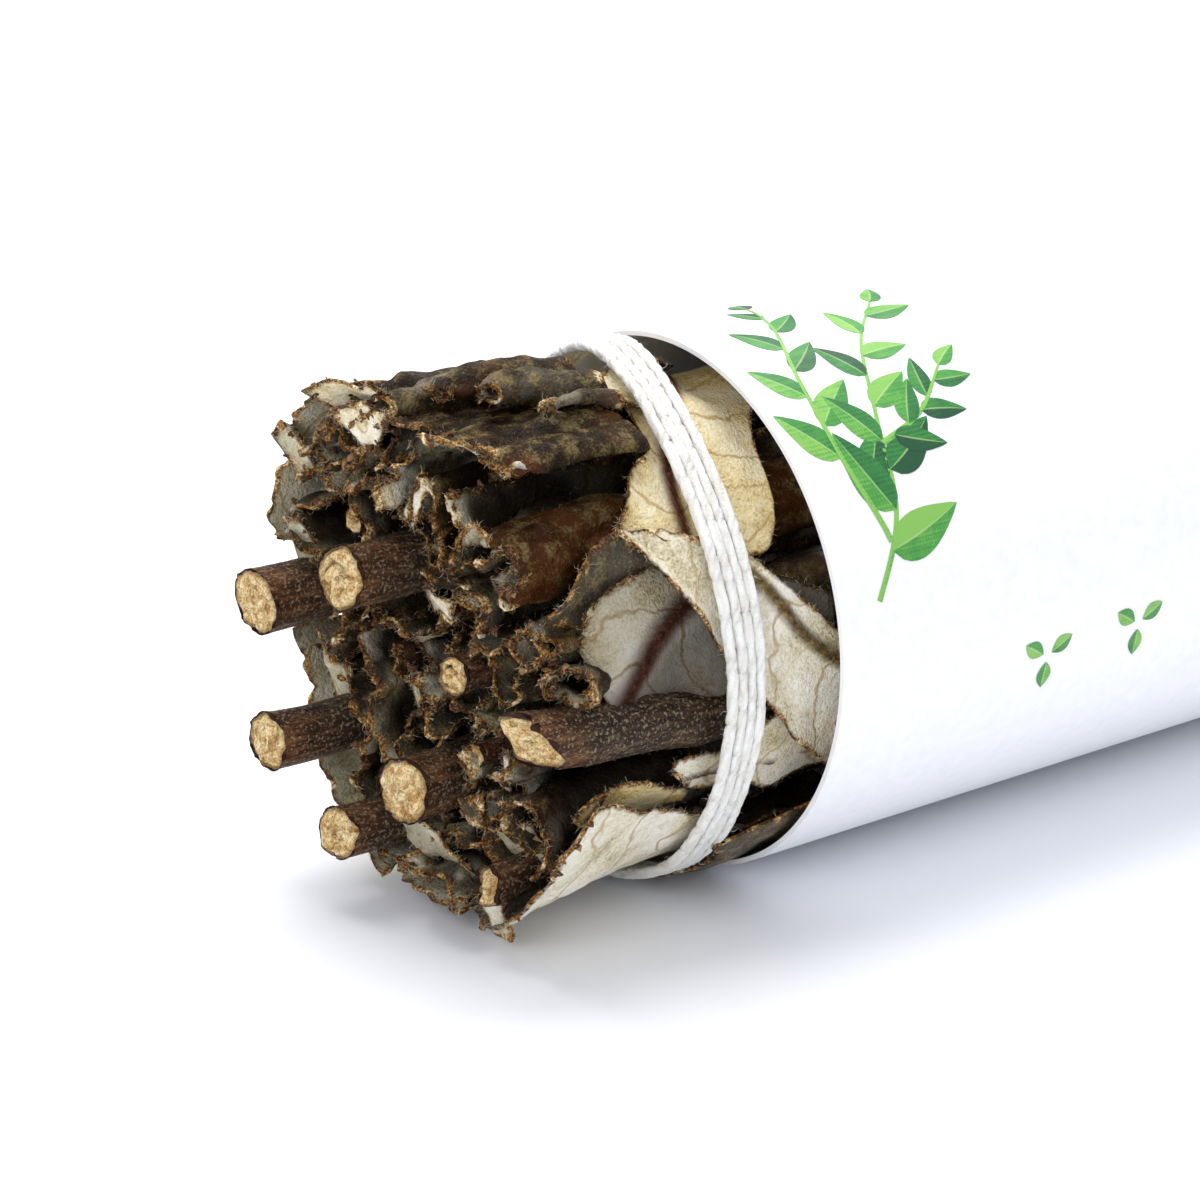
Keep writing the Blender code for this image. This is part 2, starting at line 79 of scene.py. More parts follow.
# The sleeve: its flattened underside, the lap of its seam, and how far the ink lies out from the card
RIM_X = SLEEVE_LOW.x
SLEEVE_RADIUS = (SLEEVE_HIGH.y - SLEEVE_LOW.y) / 2 / MM
SLEEVE_LENGTH = (SLEEVE_HIGH.x - SLEEVE_LOW.x) / MM
SLEEVE_FLAT = 0.25
LAP_ANGLE = 216.0
LAP_WIDTH = 30.0
LAP_STEP = 0.4
PRINT_GAP = 0.03

# The bunch: where its cut end, bands and tips lie along x, the layers of its outer leaves, and how it
# spreads in front of the string, swells in the sleeve and narrows at its ends
FACE_X = -24.0
BAND_X = -7.4
BACK_BAND_X = 66.0
TIP_X = 93.0
AXIS_Z = SLEEVE_RADIUS - 0.5
OUTER_LAYER = 18.0
UNDER_LAYER = 16.9
FACE_FLARE = 0.075
LEFT_FLARE = 0.06
CROWN_FLARE = 0.15
CROWN_ANGLE = 132.0
TOP_FILL = 0.13
TOP_ANGLE = 100.0
BOTTOM_FILL = 0.075
BOTTOM_ANGLE = -88.0
BELLY_SWELL = 0.045
TAIL_SWELL = 0.09
DRIFT = 0.5
TAPER_X = 46.0
TIP_LENGTH = 16.0
STEM_TAPER = 0.0035
CREASE_STRETCH = np.array([0.28, 1.0, 1.0])

# The string: the radius of its turns, their pitch, how the band leans back at the top, and the knot
STRING_PATH = 19.3
STRING_PITCH = 1.35
STRING_TILT = 4.6
STRING_TILT_ANGLE = 125.0
FRONT_TURNS = 4
BACK_TURNS = 2
TURN_STEP = 0.3
KNOT_STEPS = 160
TWINE_SIDES = 18
KNOT_ANGLE = 158.0
KNOT_PATH = 20.8
KNOT_SIZE = 0.72

# The photograph's view: focal length and sensor, azimuth and elevation, place from the rim in mm
CAMERA_LENS = 110.6
CAMERA_SENSOR = 36.0
CAMERA_ANGLES = (-36.8, 20.33)
CAMERA_PLACE = (-171.2, -219.9, 125.0)

# The stage in metres: the floor's side, the gap under the sleeve, the spot that the lights face
FLOOR_SIZE = 6
FLOOR_GAP = 0.00005
LIGHTS_AIM = (RIM_X - 0.005, 0, 0.02)

# Leaves: how finely a wrapped leaf's edge is read and over how many mm it is rounded off, a place
# across the leaf that is clear of any midrib, and how a small roll is pressed aside and down
EDGE_SAMPLES = 800
EDGE_ROUNDING = 0.7
NO_MIDRIB = 50.0
SMALL_PRESSED = np.array([1.25, 0.8])

# The rings of points of a stem's cut, from the bark inwards, as shares of its radius
CUT_RINGS = [0.97, 0.93, 0.88, 0.82, 0.75, 0.67, 0.59, 0.51, 0.43, 0.35, 0.27, 0.19, 0.11, 0.05]

# Stems: name, radius, slant of the cut aside and upwards, pith, and stations of x, u, w
STEMS = [
    ("stem_left_upper", 2.75, (0.10, -0.05), "solid",
     [(-28.6, -14.3, 1.7), (-9, -14.0, 1.9), (46, -14.0, 1.9)]),
    ("stem_centre", 2.6, (0.12, 0.10), "curled",
     [(-28.0, -4.1, 5.6), (34, -4.1, 5.6), (54, -2.6, 4.4), (76, -2.0, 4.0)]),
    ("stem_small", 1.6, (0.15, 0.05), "split",
     [(-23.4, 3.1, 0.8), (30, 3.1, 0.8), (50, 4.0, 0.6)]),
    ("stem_lower", 2.65, (0.18, 0.12), "solid",
     [(-26.4, 0.4, -7.9), (34, 0.4, -7.9), (54, 0.8, -5.6), (72, 1.0, -4.6)]),
    ("stem_near_side", 2.5, (0.3, -0.55), "torn",
     [(-24.2, 13.7, -0.5), (-9, 14.7, -2.9), (2, 13.2, -3.3), (40, 12.6, -3.2)]),
    ("stem_left_lower", 2.35, (0.08, 0.10), "solid",
     [(-30.2, -11.7, -7.6), (-9, -11.5, -7.5), (44, -11.3, -7.4)]),
    ("stem_bottom", 2.15, (0.20, 0.10), "solid",
     [(-28.4, -5.4, -12.8), (-9, -5.4, -12.8), (46, -5.2, -12.2)]),
    ("stem_bottom_near", 1.55, (0.1, 0.15), "torn", [(-24.2, 8.0, -13.3), (-9.6, 7.6, -13.1)]),
    ("twig_bud", 0.95, (0.1, 0.1), "ringed", [(-22.4, 4.3, -5.2), (12, 4.6, -4.8)]),
    ("twig_ring", 0.95, (0.1, -0.1), "ringed", [(-22.6, -8.9, 7.2), (20, -8.7, 7.2)]),
    ("twig_pith", 0.8, (0.0, 0.1), "ringed", [(-22.0, 0.9, 4.2), (16, 0.9, 4.1)]),
]

# Leaves cut through between the stems: name, felt on the one and the other face, cut, end, fold
FOLDED_LEAVES = [
    ("leaf_top_ridge", 0.1, 0.0, -23.8, -9.9,
     [(-9.6, 13.9), (-6.5, 15.2), (-2.5, 16.2), (1.5, 17.0), (5.0, 17.6), (7.4, 17.0)]),
    ("leaf_top_roll", 0.9, 0.0, -23.6, -9.4,
     [(-3.2, 10.2), (-2.8, 13.0), (-1.2, 15.3), (2.0, 17.0), (5.8, 17.8), (8.8, 17.5), (9.7, 16.8),
      (8.6, 16.3), (5.6, 16.6), (2.4, 15.8)]),
    ("leaf_rust_roll", 0.7, 0.0, -23.2, 86,
     [(5.3, 11.2), (6.6, 12.6), (8.8, 12.8), (10.6, 11.4), (10.9, 9.4), (9.6, 7.8), (7.5, 8.0),
      (6.9, 9.4), (8.4, 10.4)]),
    ("leaf_torn_pleats", 0.5, 0.0, -24.2, 60,
     [(-1.1, 9.9), (-0.6, 12.6), (0.7, 13.8), (1.8, 12.6), (1.6, 10.2), (2.7, 8.9), (4.0, 9.9),
      (3.9, 12.0), (3.5, 13.9)]),
    ("leaf_curl_near", 0.9, 0.3, -21.6, 82,
     [(8.0, 5.0), (9.8, 5.9), (12.2, 6.7), (13.8, 5.5), (13.2, 3.9), (11.2, 3.6)]),
    ("leaf_zigzag", 0.1, 0.6, -22.8, 80,
     [(-2.0, -0.8), (-0.4, -2.4), (1.4, -1.7), (3.2, -2.6), (5.2, -1.9), (6.8, -3.0), (8.2, -1.6),
      (10.2, -2.4), (10.3, -4.6), (8.6, -5.6)]),
    ("leaf_wave_middle", 0.2, 0.8, -22.2, 66,
     [(2.5, 6.0), (4.6, 5.3), (5.6, 3.6), (6.9, 2.4), (6.8, 0.6), (8.4, -0.1), (9.7, 0.8), (9.6, 2.6)]),
    ("leaf_fold_middle", 0.3, 0.9, -22.6, 88,
     [(-0.9, 8.4), (0.6, 7.2), (2.2, 7.5), (3.6, 7.3), (5.2, 7.6), (6.5, 6.6), (6.7, 5.0)]),
    ("leaf_comb_lower", 0.1, 0.7, -24.6, 76,
     [(-13.7, 9.3), (-12.2, 10.3), (-10.6, 9.9), (-8.8, 11.2), (-7.4, 10.2), (-5.8, 10.1), (-4.4, 11.2)]),
    ("leaf_comb_upper", 0.7, 0.0, -24.9, 64,
     [(-11.6, 11.2), (-10.2, 12.0), (-8.8, 13.3), (-7.4, 12.4), (-6.0, 12.2), (-4.8, 13.3)]),
    ("leaf_crown_curl", 0.4, 0.2, -24.4, -2,
     [(-10.2, 13.4), (-8.2, 14.7), (-5.8, 15.0), (-3.6, 15.3), (-3.0, 14.2), (-3.5, 12.4)]),
    ("leaf_left_fold", 0.6, 0.2, -24.0, 88,
     [(-10.4, 8.3), (-12.4, 8.1), (-14.5, 7.7), (-15.6, 6.5), (-14.3, 5.4), (-12.4, 5.2), (-10.7, 4.0),
      (-9.8, 2.0), (-10.1, -0.2), (-11.5, -2.1)]),
    ("leaf_under_centre", 0.7, 0.1, -22.8, 70,
     [(-8.4, 4.8), (-8.2, 3.0), (-6.8, 1.6), (-5.2, 1.9), (-3.6, 1.3), (-1.7, 1.6)]),
    ("leaf_grey_left", 0.8, 0.2, -23.6, 84,
     [(-15.0, -2.8), (-13.4, -4.1), (-11.4, -3.9), (-9.3, -4.9), (-7.9, -6.8), (-8.3, -9.2),
      (-9.7, -11.0), (-9.0, -12.4), (-8.4, -13.6)]),
    ("leaf_torn_left", 0.1, 0.5, -23.2, 68,
     [(-8.2, 0.9), (-8.6, -0.9), (-7.6, -2.3), (-6.2, -3.1), (-6.5, -5.0), (-5.5, -7.2), (-3.6, -8.9)]),
    ("leaf_grey_centre", 0.9, 0.2, -22.4, 90,
     [(-5.6, 0.1), (-4.9, -1.6), (-3.2, -2.2), (-2.7, -3.9), (-4.0, -5.0), (-3.7, -6.5)]),
    ("leaf_under_stem", 0.3, 0.9, -22.8, 86,
     [(-2.5, -11.3), (-0.8, -12.3), (1.0, -11.9), (2.6, -11.3), (3.8, -12.4), (5.5, -11.7)]),
    ("leaf_bottom_fold", 0.6, 0.9, -24.2, 74,
     [(-2.9, -14.5), (-1.3, -15.3), (0.5, -14.2), (2.2, -13.7), (3.4, -15.0), (5.2, -14.5)]),
    ("leaf_torn_bits", 0.2, 0.4, -23.0, 60,
     [(4.5, -8.4), (6.0, -9.4), (7.6, -8.7), (8.6, -9.9), (10.0, -9.4), (11.4, -10.3)]),
    ("leaf_tent", 0.7, 0.1, -23.4, -8.4,
     [(6.0, -7.2), (8.6, -7.3), (10.8, -6.3), (12.7, -6.8), (13.4, -8.4), (12.7, -10.2)]),
    ("leaf_shard_near", 0.6, 0.1, -21.6, -9.4,
     [(10.2, -12.4), (11.1, -11.9), (11.9, -11.3), (12.7, -11.1)]),
]

# Folds that are seen from their sides too, how far the fronts of some run back from one edge to the other,
# those whose amber is partly their own colour and partly painted light shining through, and the wrapped
# leaves that get painted shade
OUTER_FOLDS = {"leaf_top_ridge", "leaf_top_roll", "leaf_rust_roll", "leaf_crown_curl", "leaf_curl_near",
               "leaf_roll_front", "leaf_roll_left", "leaf_roll_middle", "leaf_roll_back", "leaf_roll_small"}
FOLD_SLANTS = {"leaf_top_roll": 5.0, "leaf_rust_roll": 2.0, "leaf_top_ridge": 4.0}
AMBER_FOLDS = {"leaf_rust_roll"}
SHADED_LEAVES = {"leaf_inner_cream"}

# The print: twigs as x and angle along each, their longest leaf in mm and number of leaves, and
# the places of the small three-leaf marks
PRINT_TWIGS = [
    ([(4.0, 14), (7.5, 30), (9.6, 50), (13.5, 70), (19.5, 86)], 7.5, 9),
    ([(6.3, 25), (4.6, 44), (5.4, 64), (8.6, 84), (10.4, 98)], 6.5, 8),
    ([(9.0, 45), (14.0, 50), (18.6, 60)], 5.5, 5),
]
PRINT_MARKS = [(21.5, -8), (31.5, -6.5), (41.0, -5.5)]

# Torn scraps: how far from the axis the loose ones may start, their thickness, the points along and
# across each, and the seed of their places
SCRAP_REACH = 15.2
SCRAP_THICKNESS = 0.3
SCRAP_GRID = (15, 11)
SCRAP_SEED = 41

# Places in the cut end that stay open, as u, w and radius
HOLLOWS = [(-11.6, 7.8, 1.8), (-7.4, -3.1, 2.8), (12.6, -9.2, 3.4), (2.6, -6.0, 1.8), (-3.4, 10.6, 1.8),
           (6.0, 13.5, 3.8), (-2.0, -4.0, 2.4), (7.0, -0.5, 2.6), (-6.0, -9.5, 2.0), (6.5, -12.5, 2.2)]

# Scraps that lie open across the cut end: felt, tone, x at the one and the other side, and four
# corners of u, w
PATCHES = [
    (1.0, 1.4, -25.0, -22.6, (-11.2, 15.2), (-3.6, 18.4), (-3.4, 17.0), (-10.4, 13.8)),
    (1.0, 1.25, -24.6, -24.0, (-8.8, 14.9), (-1.9, 17.2), (-4.2, 14.2), (-5.6, 12.8)),
    (0.95, 0.85, -24.0, -23.0, (0.3, 14.2), (1.5, 13.8), (-1.6, 8.8), (-2.9, 9.4)),
    (0.9, 0.45, -24.6, -22.8, (-15.6, 11.6), (-12.9, 12.8), (-12.3, 9.4), (-15.0, 8.4)),
    (0.9, 0.35, -24.4, -22.4, (-15.9, 6.2), (-13.1, 6.9), (-12.6, 3.4), (-15.6, 2.6)),
    (0.95, 0.95, -22.6, -22.0, (-1.2, 5.4), (2.9, 6.0), (2.4, 4.2), (-0.7, 3.6)),
    (0.9, 0.3, -22.6, -21.6, (-15.4, -1.8), (-11.0, -3.2), (-10.6, -8.0), (-14.6, -6.7)),
    (0.9, 0.3, -22.0, -20.0, (-5.2, -1.0), (-2.2, -1.6), (-2.2, -5.4), (-4.8, -5.8)),
    (0.9, 0.6, -23.6, -21.6, (-5.6, -11.0), (1.8, -11.2), (3.6, -14.3), (-3.8, -15.4)),
    (0.9, 0.45, -21.6, -19.6, (3.4, -10.6), (11.0, -8.4), (9.6, -12.4), (3.2, -13.6)),
    (0.95, 0.85, -23.2, -22.0, (5.0, -14.9), (8.7, -14.2), (8.3, -17.9), (6.2, -17.8)),
    (0.15, 0.3, -23.8, -22.4, (-13.6, 4.0), (-9.8, 5.2), (-9.2, 1.8), (-12.6, 0.2)),
    (0.1, 0.3, -23.6, -22.6, (3.6, -8.0), (6.4, -7.2), (5.8, -10.4), (3.9, -10.2)),
    (0.95, 0.9, -22.0, -21.2, (5.6, 6.0), (6.5, 6.3), (6.0, 3.2), (5.0, 3.4)),
    (0.95, 0.9, -21.4, -20.8, (6.9, -4.0), (7.6, -4.2), (7.2, -8.0), (6.2, -8.4)),
]

# Smaller rolls of leaf along the top, and two open curls on the near side: felt on the one and the
# other face, front, end, the roll's middle u, w, its radius, the angle that it starts at, how far it
# turns, how open its mouth is and how far it leans up
TOP_ROLLS = [
    ("leaf_roll_front", 0.15, 0.7, -24.2, -9.0, -4.4, 16.5, 1.7, 230, 400, 0.2, 0.0),
    ("leaf_roll_left", 0.1, 0.5, -23.6, -9.0, -7.6, 15.6, 1.3, 200, 380, 0.2, 0.0),
    ("leaf_roll_middle", 0.1, 0.6, -21.5, -8.8, -1.4, 18.1, 1.4, 200, 400, 0.2, 0.0),
    ("leaf_roll_back", 0.1, 0.5, -19.5, -8.6, 1.6, 18.9, 1.3, 250, 420, 0.2, 0.0),
    ("leaf_roll_small", 0.3, 0.8, -16.4, -8.9, 5.2, 19.1, 0.8, 210, 400, 0.2, 0.0),
    ("leaf_loop_upper", 0.2, 0.9, -22.8, -17.0, 12.4, 5.4, 1.6, 160, 330, 1.0, 0.6),
    ("leaf_loop_lower", 0.2, 0.9, -21.4, -16.6, 14.4, 2.8, 1.7, 190, 340, 1.0, 0.6),
]

# Leaves wrapped round the bunch: name, felt outside and inside, how far the lower and upper margin
# curl up, how far those sides stand off in front, tone, the midrib as x and angle along it, its half
# width, the layer, and stations of x, lower and upper edge
WRAPPED_LEAVES = [
    ("leaf_collar", 1.0, 0.1, (0.9, 0.3), (0.0, 0.0), 1.0,
     [(-6.5, 33), (-4.0, 24), (-1.0, 10), (1.5, 3), (6, -6)], 0.55, OUTER_LAYER,
     [(-15.6, 42.2, 43.6), (-13.2, 32.5, 43.2), (-12.2, 27.8, 42.2), (-11, 23, 41.2), (-10, 18.5, 40.2),
      (-9.2, 13, 39.4), (-7.3, 4, 37), (-5.3, -2.3, 32.5), (-4, -7, 29.5), (-2.8, -10.8, 25.5),
      (-1.8, -16, 21.5), (-0.2, -20, 16), (1.2, -24, 12), (2.3, -27, 8.5), (4.2, -32, 2), (8, -34, -6),
      (16, -34, -18), (22, -32, -24)]),
    ("leaf_collar_fold", 0.12, 0.6, (0.1, 0.3), (-2.6, 1.3), 0.5, None, 0, UNDER_LAYER,
     [(-22.4, 30.5, 32.2), (-20.4, 27.5, 36.7), (-18.4, 26.0, 40.6), (-15.3, 25, 43), (-12, 24, 41.5),
      (-9, 23, 38), (-6, 20, 32)]),
    ("leaf_yellow", 1.0, 0.1, (0.35, 0.35), (0.0, 0.4), 1.8,
     [(-8.8, 40), (-7.4, 58), (-4.5, 72), (-0.4, 86), (2.0, 104), (3, 118)], 0.62, UNDER_LAYER,
     [(-14.8, 42.5, 45.5), (-13, 40, 50), (-11.5, 39, 57), (-9.5, 37, 62.5), (-7.5, 34, 66), (-6.2, 32, 84),
      (-4.4, 30, 112), (-2, 30.5, 132), (-1, 33, 138), (0, 38.7, 142), (0.7, 48, 142), (1.4, 58, 142),
      (2.7, 65, 142), (4.8, 74, 140), (9, 96, 138), (16, 104, 132)]),
    ("leaf_bottom_cream", 1.0, 0.1, (0.3, 0.5), (0.0, 0.0), 0.95, None, 0, OUTER_LAYER,
     [(-23.2, -60, -24), (-21.6, -78, -15), (-19.8, -86, -16), (-17.5, -94, -20), (-15.7, -98, -24.5),
      (-12, -104, -29.5), (-8.3, -107, -37), (-5, -108, -45), (6, -106, -60), (16, -98, -74)]),
    ("leaf_side_lower", 1.0, 0.1, (0.3, 0.2), (0.0, 0.0), 1.15,
     [(-9, -26), (2, -29), (14, -30)], 0.1, UNDER_LAYER,
     [(-11.8, -21.5, -18), (-9.5, -30, -19), (-7, -33, -20.5), (-3.7, -34, -14), (-1, -39, -10),
      (1.8, -37, -14), (5, -37, -18), (12, -40, -14), (22, -36, -20)]),
    ("leaf_sliver_near", 1.0, 0.2, (0.2, 0.2), (-0.6, -0.3), 1.9,
     [(-18.4, -12), (-20.4, -26), (-21, -34)], 0.6, UNDER_LAYER,
     [(-21.4, -24, -19), (-19.5, -29, -17), (-16.8, -33, -18), (-14, -37, -22), (-12, -38, -27),
      (-9, -38, -32)]),
    ("leaf_inner_cream", 1.0, 0.2, (0.1, 0.1), (-2.6, -0.4), 1.2,
     [(-8, 27), (-12.6, 17), (-15.0, 6), (-16.4, -6)], 1.35, UNDER_LAYER,
     [(-19.4, 22, 28), (-18.4, 12, 31), (-17.4, 3, 32), (-16.2, -4, 33), (-14, -8, 34), (-12, -8, 36),
      (-9, -6, 38), (-5, 0, 30), (3, 6, 18)]),
    ("leaf_tip_top", 1.0, 0.2, (0.2, 0.3), (0.3, 0.5), 1.35, None, 0, OUTER_LAYER,
     [(-9.4, 82.8, 84.4), (-7.6, 78.5, 87.4), (-6.4, 75.4, 89.5), (-4, 77, 95), (-1, 90, 106),
      (4, 104, 116)]),
    ("leaf_left_upper", 0.9, 0.8, (0.3, 0.3), (0.0, 0.0), 0.35, [(-22, 150), (14, 146)], 0.4, OUTER_LAYER,
     [(-24.2, 122, 166), (-16, 122, 174), (-7.5, 124, 171), (0, 134, 166), (14, 140, 158)]),
    ("leaf_left_middle", 0.1, 0.7, (0.2, 0.2), (0.0, 0.0), 0.5, [(-22, 201), (14, 205)], 0.4, UNDER_LAYER,
     [(-22.8, 186, 216), (-14, 187, 222), (-7.5, 188, 226), (0, 189, 224), (16, 194, 214)]),
    ("leaf_left_under", 0.9, 0.7, (0.3, 0.3), (0.0, 0.0), 0.3, [(-22, 228), (14, 232)], 0.4, OUTER_LAYER,
     [(-23.6, 208, 250), (-15, 206, 249), (-7.5, 208, 247), (2, 214, 246), (18, 222, 240)]),
    ("leaf_bottom_far", 0.2, 0.7, (0.2, 0.2), (0.0, 0.0), 0.5, [(-22, 264), (14, 268)], 0.4, UNDER_LAYER,
     [(-23.2, 248, 282), (-15, 246, 288), (-7.5, 248, 290), (2, 252, 286), (16, 258, 274)]),
    ("leaf_under_dark", 0.1, 0.5, (0.1, 0.1), (0.4, 0.2), 0.5, None, 0, 19.8,
     [(-5.0, -88, -46), (-3, -98, -40), (2, -104, -36), (14, -96, -44)]),
]

# Leaves of the far end: name, felt outside and inside, layer, middle and width, start and tip
TIP_LEAVES = [
    ("leaf_end_near", 1.0, 0.1, OUTER_LAYER, 12.0, 50.0, 34.0, 90.0),
    ("leaf_end_crown", 0.1, 0.8, OUTER_LAYER, 80.0, 52.0, 38.0, 87.0),
    ("leaf_end_far", 1.0, 0.1, OUTER_LAYER, 150.0, 54.0, 36.0, 91.5),
    ("leaf_end_left", 0.1, 0.8, OUTER_LAYER, 222.0, 48.0, 36.0, 88.0),
    ("leaf_end_bottom", 1.0, 0.1, OUTER_LAYER, 290.0, 50.0, 36.0, 86.0),
    ("leaf_end_near_under", 0.1, 0.8, UNDER_LAYER - 0.1, 44.0, 52.0, 34.0, 92.0),
    ("leaf_end_left_under", 1.0, 0.1, UNDER_LAYER - 0.1, 252.0, 46.0, 36.0, 90.5),
    ("leaf_end_bottom_under", 0.1, 0.8, UNDER_LAYER - 0.1, 326.0, 44.0, 36.0, 89.0),
]

# Colours of dried leaf, each as places along a noise of about 0.3 to 0.7 and the colour there
SHADED_FELT = [(0.38, "#625c3c"), (0.5, "#a8a27a"), (0.6, "#d9d2ad")]
PALE_FELT = [(0.36, "#b0a276"), (0.46, "#e9e0c4"), (0.56, "#fbf7ea")]
STRAW_FELT = [(0.36, "#ac893c"), (0.47, "#efd590"), (0.58, "#fbefc8")]
LEATHER = [(0.3, "#150e07"), (0.5, "#302012"), (0.62, "#4c351c"), (0.78, "#765933")]
RED_RIB = [(0.35, "#2a140b"), (0.55, "#54281a"), (0.75, "#8a5a2c")]
OLIVE_RIB = [(0.35, "#3a2c16"), (0.55, "#6e5a34"), (0.75, "#b09a62")]
TORN_FIBRE = [(0.4, "#24160a"), (0.49, "#5c3b1c"), (0.57, "#a87c42"), (0.64, "#f0e2bc")]

# The same for bark, wood, cotton, card and ink
BROWN_BARK = [(0.3, "#180f09"), (0.5, "#36251a"), (0.7, "#624c34")]
RED_BARK = [(0.3, "#261208"), (0.5, "#552f18"), (0.7, "#8f6038")]
PALE_WOOD = [(0.34, "#8c6334"), (0.44, "#cda66a"), (0.53, "#ecd198"), (0.68, "#fbf0cb")]
BLEACHED_COTTON = [(0.3, "#eceae3"), (0.6, "#f8f8f6")]
WHITE_CARD = [(0.3, "#f3f4f7"), (0.7, "#fafafc")]
GREEN_INK = [(0.3, "#174f2f"), (0.55, "#2c7a3a"), (0.8, "#4c9c42"), (1.0, "#84bd58")]


# The bunch's own shape

def ease(start, end, x):
    """0 before start, 1 after end, smooth between."""
    t = np.clip((x - start) / (end - start), 0.0, 1.0)
    return t * t * (3 - 2 * t)


def bell(angle, centre, width):
    """A smooth bump of height 1 round the bunch, angles in degrees."""
    off = (angle - centre + 180) % 360 - 180
    return np.exp(-(off / width) ** 2)


def swell(x, angle):
    """How far the bunch stands out from its tied waist, as a factor on the radius."""
    flare = FACE_FLARE + LEFT_FLARE * bell(angle, 180, 60) + CROWN_FLARE * bell(angle, CROWN_ANGLE, 34)
    front = flare * (1 - ease(FACE_X, BAND_X, x))
    belly = BELLY_SWELL * ease(BAND_X, 10, x) * (1 - ease(48, BACK_BAND_X, x))
    tail = TAIL_SWELL * ease(BACK_BAND_X, TIP_X, x)
    full = (0.55 + 0.45 * ease(FACE_X, -12, x)) * (1 - ease(-3, 4, x))
    top = TOP_FILL * bell(angle, TOP_ANGLE, 36) * full
    bottom = BOTTOM_FILL * bell(angle, BOTTOM_ANGLE, 40) * full
    return 1 + front + belly + tail + top + bottom


def band_middle(angle):
    """Where the middle of the front band of string lies round the bunch; it leans back at the top."""
    return BAND_X + STRING_TILT * bell(angle, STRING_TILT_ANGLE, 48) + 1.2 * bell(angle, -75, 30)


def angle_of(points):
    """The angle in degrees round the bunch's axis of points in millimetres."""
    return np.degrees(np.arctan2(points[..., 2] - AXIS_Z, -points[..., 1]))


def from_midrib(x, angle, line, width):
    """Signed distance from a midrib through (x, angle) points, and length along it, in millimetres."""
    spots = np.stack([x, angle * width], axis=-1)
    knots = curve_through([(a, b * width) for a, b in line], 16)[0]
    best = np.full(x.shape, np.inf)
    across, along, gone = np.zeros(x.shape), np.zeros(x.shape), 0.0
    for k, (start, end) in enumerate(zip(knots, knots[1:])):
        length = np.linalg.norm(end - start)
        heading = (end - start) / length
        reach = (spots - start) @ heading
        reach = np.clip(reach, -1e3 if k == 0 else 0, 1e3 if k == len(knots) - 2 else length)
        off = spots - start - reach[..., None] * heading
        far = np.linalg.norm(off, axis=-1)
        nearer = far < best
        side = np.sign(heading[0] * off[..., 1] - heading[1] * off[..., 0])
        across = np.where(nearer, far * side, across)
        along = np.where(nearer, gone + reach, along)
        best = np.minimum(best, far)
        gone += length
    return across, along


def drift(x):
    """How far the loose cut end has wandered from the bunch's axis, in front of the string."""
    reach = DRIFT * (1 - ease(FACE_X + 4, BAND_X, x))
    return reach * np.sin(x / 5.2 + 0.8), reach * np.sin(x / 6.1 + 2.2)


def bunch_points(x, u, w):
    """Where points (u, w) of the section lie, x along the bunch, in millimetres."""
    x, u, w = np.broadcast_arrays(np.asarray(x, float), u, w)
    factor = swell(x, np.degrees(np.arctan2(w, u)))
    aside, up = drift(x)
    return np.stack([x, -(u * factor + aside), AXIS_Z + w * factor + up], axis=-1)


def ring_points(x, radius, angle):
    """The same for points given by their radius and their angle in degrees."""
    turn = np.radians(angle)
    return bunch_points(x, radius * np.cos(turn), radius * np.sin(turn))


def curve_through(points, count):
    """Points at even spacing on a smooth curve through the given ones."""
    points = np.array(points, float)
    ends = np.vstack([2 * points[0] - points[1], points, 2 * points[-1] - points[-2]])
    t = np.linspace(0, 1, 24, endpoint=False)[:, None]
    fine = [0.5 * (2 * a + (b - before) * t + (2 * before - 5 * a + 4 * b - after) * t ** 2
                   + (3 * a - before - 3 * b + after) * t ** 3)
            for before, a, b, after in zip(ends, ends[1:], ends[2:], ends[3:])]
    fine = np.vstack(fine + [points[-1:]])
    gone = np.concatenate([[0], np.cumsum(np.linalg.norm(np.diff(fine, axis=0), axis=1))])
    even = np.linspace(0, gone[-1], count)
    return np.stack([np.interp(even, gone, fine[:, k]) for k in range(fine.shape[1])], axis=1), gone[-1]


def noise(points, size, seed=0):
    """Smooth noise from -1 to 1, its lumps about size across."""
    scaled = np.asarray(points, float) / size + seed * 17.31
    cell = np.floor(scaled).astype(np.int64)
    part = scaled - cell
    part = part * part * (3 - 2 * part)
    total = np.zeros(scaled.shape[:-1])
    for corner in np.ndindex(2, 2, 2):
        at = cell + np.array(corner)
        draw = (at[..., 0] * 73856093) ^ (at[..., 1] * 19349663) ^ (at[..., 2] * 83492791)
        draw = (draw ^ (draw >> 13)) * 1274126177
        value = ((draw ^ (draw >> 16)) & 0xFFFF) / 32767.5 - 1
        total += value * np.prod(np.where(np.array(corner) == 1, part, 1 - part), axis=-1)
    return total


def rumple(points, *layers, start=0.0):
    """Layers of noise on top of a start, each layer as its height, size and seed."""
    return sum((height * noise(points, size, seed) for height, size, seed in layers), start)


def beside(run, seed):
    """Points on a line of their own, to read noise at: run millimetres along it, by the seed."""
    return np.stack([run, np.full(len(run), float(seed)), np.zeros(len(run))], axis=1)


def seed_of(name):
    """A whole number of its own for a piece's noise."""
    return sum(map(ord, name))


def steps(start, end, first, growth, most):
    """Stations from start to end whose spacing grows from first by growth to most."""
    places, gap = [start], first
    while places[-1] + gap * 1.5 < end:
        places.append(places[-1] + gap)
        gap = min(gap * growth, most)
    return np.array(places + [end])


# Meshes

def to_frame(points):
    """Millimetres in the section to metres in the frame."""
    return np.asarray(points) * MM + np.array([RIM_X, 0.0, 0.0])


